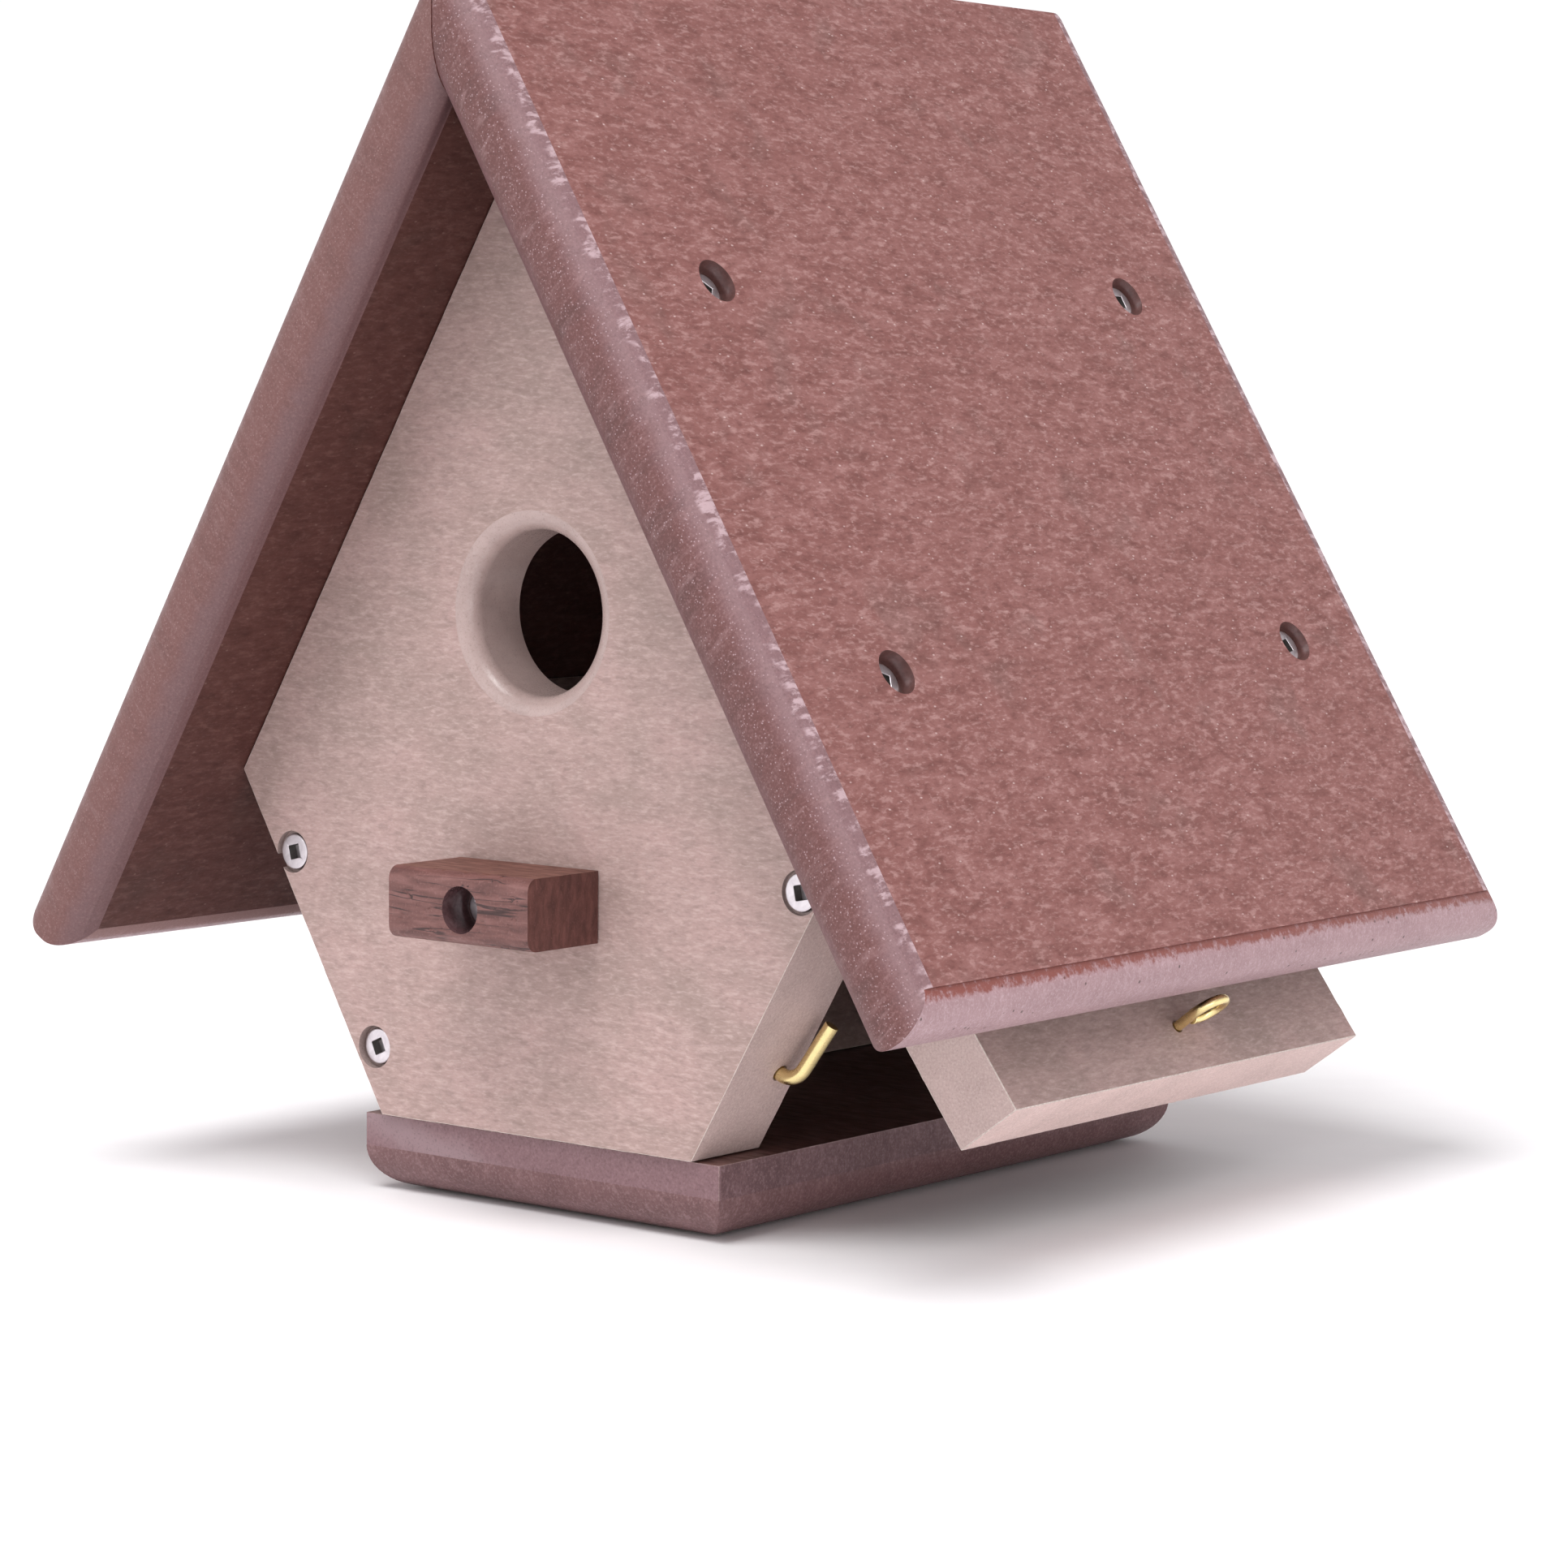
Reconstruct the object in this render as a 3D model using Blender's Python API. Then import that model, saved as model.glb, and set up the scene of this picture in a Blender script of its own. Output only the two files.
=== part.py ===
"""Hexagon-fronted birdhouse in recycled-plastic board, with a swing-up clean-out door.

Metres, +Z up, +Y towards the back, +X to the right when facing the entrance.
Origin: middle of the floor's underside, on the surface the house stands on.

Lengths below are millimetres.  Inside the helpers a point is (x, y, z) with
y measured back from the front panel's outer face and z up from the floor's top,
which is how the boards are cut; place() turns that into the part's frame.
"""

import math

import bmesh
import bpy
from mathutils import Matrix, Vector

# ---------------------------------------------------------------- dimensions
MM = 0.001
GAP = 0.30                 # clearance kept between boards that touch

FRONT_T = 19.05            # 3/4 in front board
BOARD_T = 14.30            # 9/16 in boards everywhere else

# hexagonal front and back panels
PANEL_BOTTOM_W = 74.80
PANEL_WIDEST_W = 147.80
PANEL_WIDEST_Z = 62.80
PANEL_APEX_Z = 185.30
HOUSE_D = 147.00           # front panel's outer face to back panel's outer face

# roof boards
ROOF_FRONT_Y = -26.60
ROOF_BACK_Y = 165.90
EAVE_PAST_CORNER = 42.20   # measured down the slope
ROOF_ROUND_R = 6.35        # 1/4 in round-over on both faces
EAVE_QUIRK = 0.35          # shoulder the router leaves where the eave meets the top

# floor board
FLOOR_HALF_W = 42.80
FLOOR_FRONT_Y = 1.30
FLOOR_BACK_Y = 144.20
FLOOR_T = 14.30
FLOOR_ROUND_R = 8.00

# entrance hole
HOLE_X, HOLE_Z = -0.50, 95.10
HOLE_R = 15.00             # 30 mm, 1-3/16 in
HOLE_ROUND_R = 3.50        # round-over on the front edge only
HOLE_EDGE_Y = 13.50        # sharp inner edge of the bore
HOLE_RELIEF_R = 20.50      # the board's back is sunk this wide around the bore

# perch
PERCH_X0, PERCH_X1 = -17.50, 15.85
PERCH_Z0, PERCH_Z1 = 37.00, 50.00
PERCH_OUT = 19.00
PERCH_ROUND_R = 2.30
PERCH_SCREW = (-0.30, 43.30)
PERCH_HEAD_DEPTH = 6.2

# number 6 flat-head screws
SCREW_R = 1.75
HEAD_R = 3.30
HEAD_RIM = 0.50
HEAD_H = 2.60
RECESS_W = 2.70            # square drive
RECESS_D = 1.90
TIP_L = 4.0
COUNTERBORE_R = 4.00
SCREW_LONG = 31.75         # 1-1/4 in
SCREW_SHORT = 25.40        # 1 in
HEAD_SUNK = 0.35           # below the board's face, where nothing else is given
UPPER_SUNK, LOWER_SUNK, PIVOT_SUNK = 0.45, 1.00, 0.05
ROOF_FRONT_DEPTH, ROOF_BACK_DEPTH = 2.9, 2.0

LEFT_UPPER = (-60.80, 47.70)   # x, z of the side panel's screws
LEFT_LOWER = (-39.45, 12.65)
PIVOT = (61.36, 49.70)         # x, z of the door's axis

# roof screws: slope distance down from the apex, and depth
ROOF_SCREW_LOW, ROOF_SCREW_HIGH = 122.5, 45.0
ROOF_SCREW_FRONT_Y, ROOF_SCREW_BACK_Y = 7.90, 135.50
FLOOR_SCREW_X = 22.0
FLOOR_SCREW_FRONT_Y, FLOOR_SCREW_BACK_Y = 14.00, 135.50

# clean-out door
DOOR_Y0, DOOR_Y1 = 19.65, 132.10
DOOR_BELOW = 48.40         # pivot to the door's lower end
DOOR_ABOVE = 12.50         # pivot to the door's upper end
DOOR_OUT = 4.27            # pivot to the door's outer face
DOOR_OPEN_DEG = 36.08      # how far past vertical the door stands open

# latch: a brass L hook in the front panel's right-hand lower edge
LATCH_WIRE_R = 1.35
LATCH_ALONG = 17.55        # from the panel's bottom corner, along the edge
LATCH_Y = 13.90
LATCH_RISE = 3.7           # edge to the leg's centreline
LATCH_LEG = 13.0
LATCH_BEND_R = 3.5
LATCH_TURNED_DEG = 11.0    # the leg stands this far round from the edge towards the back
LATCH_IN = 14.0

# door pull: a small brass eye
EYE_WIRE_R = 0.95
EYE_DOWN = 39.3            # pivot to shank, down the door
EYE_Y = 77.6
EYE_LOOP_R = 3.50
EYE_LOOP_RISE = 5.70
EYE_LOOP_SIDE = 2.90
EYE_IN = 9.0

Y_MID = (ROOF_FRONT_Y + ROOF_BACK_Y) / 2

for old in list(bpy.data.objects):
    bpy.data.objects.remove(old, do_unlink=True)

# ---------------------------------------------------------------- directions
SLOPE = math.atan2(PANEL_APEX_Z - PANEL_WIDEST_Z, PANEL_WIDEST_W / 2)
SLOPE_LEN = math.hypot(PANEL_APEX_Z - PANEL_WIDEST_Z, PANEL_WIDEST_W / 2)
EDGE_LEN = math.hypot((PANEL_WIDEST_W - PANEL_BOTTOM_W) / 2, PANEL_WIDEST_Z)
# right-hand lower edge: along it (upwards) and out of it
EDGE_UP = Vector(((PANEL_WIDEST_W - PANEL_BOTTOM_W) / 2 / EDGE_LEN, 0, PANEL_WIDEST_Z / EDGE_LEN))
EDGE_OUT = Vector((EDGE_UP.z, 0, -EDGE_UP.x))


def place(x, y, z):
    """Bench coordinates in millimetres to the part's frame in metres."""
    return Vector((x, y - Y_MID, z + FLOOR_T)) * MM


def slope_point(side, s, n):
    """Point s down the roof's slope from the apex and n above its underside."""
    x = s * math.cos(SLOPE) + n * math.sin(SLOPE)
    z = PANEL_APEX_Z - s * math.sin(SLOPE) + n * math.cos(SLOPE)
    return side * x, z


def slope_normal(side):
    return Vector((side * math.sin(SLOPE), 0, math.cos(SLOPE)))


# ---------------------------------------------------------------- helpers
def material(name, colour, roughness, metallic=0.0):
    mat = bpy.data.materials.new(name)
    mat.use_nodes = True
    shader = mat.node_tree.nodes["Principled BSDF"]
    shader.inputs["Base Color"].default_value = (*colour, 1.0)
    shader.inputs["Roughness"].default_value = roughness
    shader.inputs["Metallic"].default_value = metallic
    mat.diffuse_color = (*colour, 1.0)
    return mat


TAN = ((0.46, 0.36, 0.30), 0.62, 0.0)
ROOF_RED = ((0.30, 0.13, 0.12), 0.60, 0.0)
FLOOR_BROWN = ((0.13, 0.075, 0.075), 0.58, 0.0)
STEEL = ((0.62, 0.60, 0.58), 0.34, 1.0)
BRASS = ((0.78, 0.57, 0.20), 0.28, 1.0)


def add(name, bm, finish, smooth_angle=None):
    bmesh.ops.recalc_face_normals(bm, faces=bm.faces)
    mesh = bpy.data.meshes.new(name)
    bm.to_mesh(mesh)
    bm.free()
    if smooth_angle is not None:
        mesh.shade_smooth()
        mesh.set_sharp_from_angle(angle=math.radians(smooth_angle))
    obj = bpy.data.objects.new(name, mesh)
    bpy.context.scene.collection.objects.link(obj)
    if finish is None:
        obj.hide_render = True
        obj.display_type = "WIRE"
    else:
        mesh.materials.append(material(name + "_finish", *finish))
    return obj


def extrude(outline, start, end, to_point):
    """Closed outline swept from start to end; to_point(a, b, t) gives each vertex in metres."""
    bm = bmesh.new()
    ends = [[bm.verts.new(to_point(a, b, t)) for a, b in outline] for t in (start, end)]
    bm.faces.new(ends[0])
    bm.faces.new(list(reversed(ends[1])))
    n = len(outline)
    for i in range(n):
        j = (i + 1) % n
        bm.faces.new((ends[0][j], ends[0][i], ends[1][i], ends[1][j]))
    return bm


def turn(profile, segments):
    """Profile of (radius, height) pairs in millimetres turned about local Z; it starts and ends on the axis."""
    bm = bmesh.new()
    rings = []
    for r, h in profile:
        if r == 0:
            rings.append([bm.verts.new((0, 0, h * MM))])
        else:
            rings.append([
                bm.verts.new((r * MM * math.cos(2 * math.pi * k / segments),
                              r * MM * math.sin(2 * math.pi * k / segments), h * MM))
                for k in range(segments)
            ])
    for low, high in zip(rings, rings[1:]):
        for k in range(segments):
            m = (k + 1) % segments
            if len(low) == 1:
                bm.faces.new((low[0], high[k], high[m]))
            elif len(high) == 1:
                bm.faces.new((low[m], low[k], high[0]))
            else:
                bm.faces.new((low[m], low[k], high[k], high[m]))
    return bm


def arc(cx, cy, r, a0, a1, steps):
    return [(cx + r * math.cos(math.radians(a0 + (a1 - a0) * k / steps)),
             cy + r * math.sin(math.radians(a0 + (a1 - a0) * k / steps))) for k in range(steps + 1)]


def point_along(obj, location, direction, twist_deg=0.0):
    """Puts an object's origin at location with its local +Z along direction."""
    turned = Vector((0, 0, 1)).rotation_difference(Vector(direction).normalized())
    obj.rotation_mode = "QUATERNION"
    obj.rotation_quaternion = turned @ Matrix.Rotation(math.radians(twist_deg), 3, "Z").to_quaternion()
    obj.location = location


def cut(obj, tool, operation="DIFFERENCE"):
    mod = obj.modifiers.new(f"{operation.lower()} {tool.name}", "BOOLEAN")
    mod.operation = operation
    mod.solver = "EXACT"
    mod.object = tool


def tube(points, radius, sides, tangents):
    """Round bar through points; both ends capped square.  The first ring's frame is carried along the bar."""
    bm = bmesh.new()
    rings = []
    ref = tangents[0].orthogonal().normalized()
    last = tangents[0]
    for p, t in zip(points, tangents):
        ref = last.rotation_difference(t) @ ref
        ref = (ref - t * ref.dot(t)).normalized()
        other = t.cross(ref)
        last = t
        rings.append([
            bm.verts.new((p + radius * (math.cos(a) * ref + math.sin(a) * other)) * MM)
            for a in (2 * math.pi * k / sides for k in range(sides))
        ])
    for low, high in zip(rings, rings[1:]):
        for k in range(sides):
            m = (k + 1) % sides
            bm.faces.new((low[k], low[m], high[m], high[k]))
    bm.faces.new(list(reversed(rings[0])))
    bm.faces.new(rings[-1])
    return bm


# ---------------------------------------------------------------- screws and their holes
def screw_hole(name, length, location, direction, counterbore=COUNTERBORE_R):
    """Tool that bores one screw's counterbore, seat, clearance and pilot."""
    seat = 0.75
    slope = (HEAD_R - SCREW_R) / (HEAD_H - HEAD_RIM)
    seat_r = HEAD_R - (seat - HEAD_RIM) * slope + 0.40
    profile = [
        (0, 30.0), (counterbore, 30.0), (counterbore, -seat), (seat_r, -seat),
        (SCREW_R + 0.40, -HEAD_H - 0.05), (SCREW_R + 0.34, -HEAD_H - 0.35),
        (SCREW_R + 0.34, -(length - TIP_L)), (0.45, -(length + 0.30)), (0, -(length + 0.30)),
    ]
    tool = add("tool_" + name, turn(profile, 24), None)
    point_along(tool, location, direction, 7.5)
    return tool


def screw(name, length, location, direction, twist):
    """Flat-head screw with a square drive; its origin is the middle of the head's top."""
    edge = 0.12
    profile = [
        (0, 0.0), (HEAD_R - edge, 0.0), (HEAD_R, -edge), (HEAD_R, -HEAD_RIM), (SCREW_R, -HEAD_H),
        (SCREW_R, -(length - TIP_L)), (0.15, -length), (0, -length),
    ]
    body = add(name, turn(profile, 16), STEEL, 40)
    point_along(body, location, direction, twist)
    h = RECESS_W / 2
    outline = [(-h, -h), (h, -h), (h, h), (-h, h)]
    taper = 0.86
    bm = bmesh.new()
    top = [bm.verts.new((a * MM, b * MM, 1.0 * MM)) for a, b in outline]
    low = [bm.verts.new((a * taper * MM, b * taper * MM, -RECESS_D * MM)) for a, b in outline]
    bm.faces.new(top)
    bm.faces.new(low)
    for i in range(4):
        j = (i + 1) % 4
        bm.faces.new((top[i], top[j], low[j], low[i]))
    drive = add("drive_" + name, bm, None)
    point_along(drive, location, direction, twist)
    cut(body, drive)
    return body


def fasten(name, length, location, direction, twist, boards, counterbore=COUNTERBORE_R):
    tool = screw_hole(name, length, location, direction, counterbore)
    for board in boards:
        cut(board, tool)
    return screw(name, length, location, direction, twist)


# ---------------------------------------------------------------- panels
half_b, half_w = PANEL_BOTTOM_W / 2, PANEL_WIDEST_W / 2
inset = GAP / 2


def hexagon():
    """Panel outline, drawn in by half a gap where the roof and the floor bear on it."""
    def roof_x(z):
        # half width under the roof's slope at height z
        return (PANEL_APEX_Z - z) / math.tan(SLOPE) - inset / math.sin(SLOPE)
    apex = PANEL_APEX_Z - inset / math.cos(SLOPE)
    run = (half_w - half_b) / PANEL_WIDEST_Z
    bottom = half_b + run * inset
    # the corner slides down the lower edge until it meets the inset slope
    z = PANEL_WIDEST_Z
    for _ in range(30):
        z += (roof_x(z) - (half_b + run * z)) * 0.5
    wide = half_b + run * z
    return [(-bottom, inset), (bottom, inset), (wide, z), (0.0, apex), (-wide, z)]


def hex_panel(name, y0, y1):
    return add(name, extrude(hexagon(), y0, y1, lambda a, b, t: place(a, t, b)), TAN)


front_panel = hex_panel("front_panel", 0.0, FRONT_T)
back_panel = hex_panel("back_panel", HOUSE_D - BOARD_T, HOUSE_D)

# entrance: bore with a rounded front edge and a relief behind; the tool's axis points out of the front
entrance_profile = [(0, 5.0), (HOLE_R + HOLE_ROUND_R, 5.0)]
entrance_profile += [(HOLE_R + HOLE_ROUND_R - x, -y) for x, y in
                     [(HOLE_ROUND_R * math.sin(math.radians(a)), HOLE_ROUND_R * (1 - math.cos(math.radians(a))))
                      for a in (0, 18, 36, 54, 72, 90)]]
entrance_profile += [(HOLE_R, -HOLE_EDGE_Y), (HOLE_RELIEF_R, -HOLE_EDGE_Y),
                     (HOLE_RELIEF_R, -FRONT_T - 5.0), (0, -FRONT_T - 5.0)]
entrance = add("tool_entrance", turn(entrance_profile, 56), None)
point_along(entrance, place(HOLE_X, 0, HOLE_Z), (0, -1, 0))
cut(front_panel, entrance)

# ---------------------------------------------------------------- left side panel
y_side0, y_side1 = FRONT_T + GAP, HOUSE_D - BOARD_T - GAP


def left_side_outline():
    """Cross-section: a board lying along the left lower edge, cut level on the floor and to the roof's slope."""
    up = Vector((-EDGE_UP.x, EDGE_UP.z))
    inward = Vector((EDGE_UP.z, EDGE_UP.x))
    corner = Vector((-half_b, 0.0))

    def at_height(offset, z):
        base = corner + inward * offset
        return base + up * ((z - base.y) / up.y)

    def at_roof(offset):
        base = corner + inward * offset
        normal = Vector((-math.sin(SLOPE), math.cos(SLOPE)))
        limit = normal.y * PANEL_APEX_Z - inset
        return base + up * ((limit - normal.dot(base)) / normal.dot(up))

    return [tuple(v) for v in (at_height(0, inset), at_height(BOARD_T, inset), at_roof(BOARD_T), at_roof(0))]


left_side_panel = add(
    "left_side_panel",
    extrude(left_side_outline(), y_side0, y_side1, lambda a, b, t: place(a, t, b)), TAN)

# ---------------------------------------------------------------- floor
def rounded_below(half_low, half_high, top, bottom, r, steps=6):
    return ([(half_low, top), (half_high, top)]
            + [(half_high, bottom + r)]
            + arc(half_high - r, bottom + r, r, 0, -90, steps)[1:]
            + arc(half_low + r, bottom + r, r, -90, -180, steps))


floor_board = add("floor_board", extrude(
    rounded_below(-FLOOR_HALF_W, FLOOR_HALF_W, -inset, -FLOOR_T, FLOOR_ROUND_R),
    FLOOR_FRONT_Y, FLOOR_BACK_Y, lambda a, b, t: place(a, t, b)), FLOOR_BROWN, 30)
floor_ends = add("tool_floor_ends", extrude(
    rounded_below(FLOOR_FRONT_Y, FLOOR_BACK_Y, 5.0, -FLOOR_T, FLOOR_ROUND_R),
    -FLOOR_HALF_W - 5, FLOOR_HALF_W + 5, lambda a, b, t: place(t, a, b)), None)
cut(floor_board, floor_ends, "INTERSECT")

# ---------------------------------------------------------------- roof boards
ROOF_N0, ROOF_N1 = inset, inset + BOARD_T
EAVE_S = SLOPE_LEN + EAVE_PAST_CORNER


def roof_board(name, side):
    """Board lying on one slope, mitred at the ridge; local X runs down the slope and local Z out of it."""
    r = ROOF_ROUND_R

    def ridge(n):
        return (inset - n * math.sin(SLOPE)) / math.cos(SLOPE)

    outline = [(ridge(ROOF_N0), ROOF_N0)]
    outline += arc(EAVE_S - r, ROOF_N0 + r, r, -90, 0, 7)
    outline += arc(EAVE_S - r, ROOF_N1 - EAVE_QUIRK - r, r, 0, 90, 7)
    outline += [(EAVE_S - r, ROOF_N1), (ridge(ROOF_N1), ROOF_N1)]
    board = add(name, extrude(outline, ROOF_FRONT_Y, ROOF_BACK_Y,
                              lambda a, b, t: Vector((side * a, t, b)) * MM), ROOF_RED, 25)
    ends = (arc(ROOF_FRONT_Y + r, ROOF_N0 + r, r, 180, 270, 7)
            + arc(ROOF_BACK_Y - r, ROOF_N0 + r, r, -90, 0, 7)
            + arc(ROOF_BACK_Y - r, ROOF_N1 - r, r, 0, 90, 7)
            + arc(ROOF_FRONT_Y + r, ROOF_N1 - r, r, 90, 180, 7))
    tool = add("tool_" + name, extrude(ends, -60.0, EAVE_S + 20.0,
                                       lambda a, b, t: Vector((side * t, a, b)) * MM), None)
    for obj in (board, tool):
        obj.location = place(0, 0, PANEL_APEX_Z)
        obj.rotation_euler = (0, side * SLOPE, 0)
    cut(board, tool, "INTERSECT")
    return board


left_roof_panel = roof_board("left_roof_panel", -1)
right_roof_panel = roof_board("right_roof_panel", 1)

# ---------------------------------------------------------------- perch
r = PERCH_ROUND_R
perch_outline = ([(-GAP, PERCH_Z0)] + arc(-PERCH_OUT + r, PERCH_Z0 + r, r, 270, 180, 4)
                 + arc(-PERCH_OUT + r, PERCH_Z1 - r, r, 180, 90, 4) + [(-GAP, PERCH_Z1)])
perch_block = add("perch_block", extrude(perch_outline, PERCH_X0, PERCH_X1,
                                         lambda a, b, t: place(t, a, b)), FLOOR_BROWN, 30)

# ---------------------------------------------------------------- door, built about its own pivot
# local X points out of the door, local Z up it, and the origin is on the pivot's axis
DOOR_MID_Y = (DOOR_Y0 + DOOR_Y1) / 2
cleanout_door = add("cleanout_door", extrude(
    [(DOOR_OUT - BOARD_T, -DOOR_BELOW), (DOOR_OUT, -DOOR_BELOW), (DOOR_OUT, DOOR_ABOVE), (DOOR_OUT - BOARD_T, DOOR_ABOVE)],
    DOOR_Y0 - DOOR_MID_Y, DOOR_Y1 - DOOR_MID_Y, lambda a, b, t: Vector((a, t, b)) * MM), TAN)
cleanout_door.location = place(PIVOT[0], DOOR_MID_Y, PIVOT[1])
cleanout_door.rotation_euler = (0, -math.radians(DOOR_OPEN_DEG), 0)

# pull eye: shank into the door, then once round the loop to a gap beside the shank
eye_points, eye_tangents = [], []
side_start = Vector((DOOR_OUT - EYE_IN, 0, 0))
loop_c = Vector((DOOR_OUT + EYE_LOOP_RISE, EYE_LOOP_SIDE, 0))
loop_start = loop_c + Vector((0, -EYE_LOOP_R, 0))
for k in range(4):
    f = k / 3
    eye_points.append(side_start + Vector((EYE_IN * f * 0.95, 0, 0)))
    eye_tangents.append(Vector((1, 0, 0)))
rise_from = eye_points[-1]
for k in range(1, 4):
    f = k / 4
    ease = f * f * (3 - 2 * f)
    eye_points.append(Vector((rise_from.x + (loop_start.x - rise_from.x) * f,
                              loop_start.y * ease, 0)))
    eye_tangents.append(Vector((1, loop_start.y * 6 * f * (1 - f) / (loop_start.x - rise_from.x), 0)).normalized())
for k in range(23):
    a = math.radians(180 - (180 + 104) * k / 22)
    eye_points.append(loop_c + EYE_LOOP_R * Vector((math.sin(a), math.cos(a), 0)))
    eye_tangents.append(Vector((-math.cos(a), math.sin(a), 0)))
door_pull_eye = add("door_pull_eye", tube(eye_points, EYE_WIRE_R, 10, eye_tangents), BRASS, 40)
door_pull_eye.parent = cleanout_door
door_pull_eye.location = Vector((0, EYE_Y - DOOR_MID_Y, -EYE_DOWN)) * MM
eye_hole = add("tool_eye", turn([(0, 5), (EYE_WIRE_R + 0.3, 5), (EYE_WIRE_R + 0.3, -EYE_IN - 0.4), (0, -EYE_IN - 0.4)], 16), None)
eye_hole.parent = cleanout_door
point_along(eye_hole, Vector((DOOR_OUT, EYE_Y - DOOR_MID_Y, -EYE_DOWN)) * MM, (1, 0, 0))
cut(cleanout_door, eye_hole)

# ---------------------------------------------------------------- latch, built about its own shank
# local Z points out of the panel's edge; local X runs along the leg
latch_points, latch_tangents = [], []
b = LATCH_BEND_R
for h in (-LATCH_IN, -LATCH_IN * 0.5, LATCH_RISE - b):
    latch_points.append(Vector((0, 0, h)))
    latch_tangents.append(Vector((0, 0, 1)))
for k in range(1, 7):
    a = math.radians(90 * k / 6)
    latch_points.append(Vector((b * (1 - math.cos(a)), 0, LATCH_RISE - b + b * math.sin(a))))
    latch_tangents.append(Vector((math.sin(a), 0, math.cos(a))))
for f in (0.5, 1.0):
    latch_points.append(Vector((b + (LATCH_LEG - b) * f, 0, LATCH_RISE)))
    latch_tangents.append(Vector((1, 0, 0)))
latch_hook = add("latch_hook", tube(latch_points, LATCH_WIRE_R, 12, latch_tangents), BRASS, 40)
latch_base = Vector((half_b, LATCH_Y, 0)) + EDGE_UP * LATCH_ALONG
leg_dir = (EDGE_UP * math.cos(math.radians(LATCH_TURNED_DEG))
           + Vector((0, 1, 0)) * math.sin(math.radians(LATCH_TURNED_DEG)))
latch_turned = Matrix((leg_dir, EDGE_OUT.cross(leg_dir), EDGE_OUT)).transposed()
latch_hook.rotation_mode = "QUATERNION"
latch_hook.rotation_quaternion = latch_turned.to_quaternion()
latch_hook.location = place(*latch_base)
latch_hole = add("tool_latch", turn([(0, 6), (LATCH_WIRE_R + 0.3, 6), (LATCH_WIRE_R + 0.3, -LATCH_IN - 0.4), (0, -LATCH_IN - 0.4)], 16), None)
point_along(latch_hole, place(*latch_base), EDGE_OUT)
cut(front_panel, latch_hole)

# ---------------------------------------------------------------- fasteners
fasten("perch_screw", SCREW_SHORT, place(PERCH_SCREW[0], -PERCH_OUT + PERCH_HEAD_DEPTH, PERCH_SCREW[1]), (0, -1, 0), 20,
       (perch_block, front_panel), 4.25)
fasten("front_side_screw_upper", SCREW_LONG, place(LEFT_UPPER[0], UPPER_SUNK, LEFT_UPPER[1]), (0, -1, 0), 14,
       (front_panel, left_side_panel))
fasten("front_side_screw_lower", SCREW_LONG, place(LEFT_LOWER[0], LOWER_SUNK, LEFT_LOWER[1]), (0, -1, 0), 24,
       (front_panel, left_side_panel))
fasten("back_side_screw_upper", SCREW_LONG, place(LEFT_UPPER[0], HOUSE_D - HEAD_SUNK, LEFT_UPPER[1]), (0, 1, 0), 31,
       (back_panel, left_side_panel))
fasten("back_side_screw_lower", SCREW_LONG, place(LEFT_LOWER[0], HOUSE_D - HEAD_SUNK, LEFT_LOWER[1]), (0, 1, 0), 8,
       (back_panel, left_side_panel))

# the two pivot screws are driven into the door's ends and turn in the panels
pivot_front = fasten("door_pivot_screw_front", SCREW_LONG, place(PIVOT[0], PIVOT_SUNK, PIVOT[1]), (0, -1, 0), 12,
                     (front_panel, cleanout_door))
pivot_back = fasten("door_pivot_screw_back", SCREW_LONG, place(PIVOT[0], HOUSE_D - HEAD_SUNK, PIVOT[1]), (0, 1, 0), 40,
                    (back_panel, cleanout_door))

twist = 9
for side, board, word in ((-1, left_roof_panel, "left"), (1, right_roof_panel, "right")):
    for s, level in ((ROOF_SCREW_LOW, "lower"), (ROOF_SCREW_HIGH, "upper")):
        for y, depth, panel, end in ((ROOF_SCREW_FRONT_Y, ROOF_FRONT_DEPTH, front_panel, "front"),
                                     (ROOF_SCREW_BACK_Y, ROOF_BACK_DEPTH, back_panel, "back")):
            x, z = slope_point(side, s, ROOF_N1 - depth)
            fasten(f"{word}_roof_screw_{level}_{end}", SCREW_LONG, place(x, y, z), slope_normal(side), twist,
                   (board, panel), 4.25)
            twist = (twist + 37) % 90

for x, word in ((-FLOOR_SCREW_X, "left"), (FLOOR_SCREW_X, "right")):
    for y, panel, end in ((FLOOR_SCREW_FRONT_Y, front_panel, "front"), (FLOOR_SCREW_BACK_Y, back_panel, "back")):
        fasten(f"floor_screw_{word}_{end}", SCREW_LONG, place(x, y, -FLOOR_T + HEAD_SUNK), (0, 0, -1), twist,
               (floor_board, panel))
        twist = (twist + 37) % 90

# the pivot screws follow the door
bpy.context.view_layer.update()
for follower in (pivot_front, pivot_back):
    held = follower.matrix_world.copy()
    follower.parent = cleanout_door
    follower.matrix_parent_inverse = cleanout_door.matrix_world.inverted()
    follower.matrix_world = held
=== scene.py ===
"""Looks for the hexagon-fronted birdhouse: refined boards, fasteners and brass, studio light and camera.

Bench coordinates are millimetres: x right, y back from the front panel's outer
face, z up from the floor board's top.  place() gives the row frame in metres.
"""

import math

import bmesh
import bpy
import numpy as np
from mathutils import Matrix, Quaternion, Vector, noise


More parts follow.
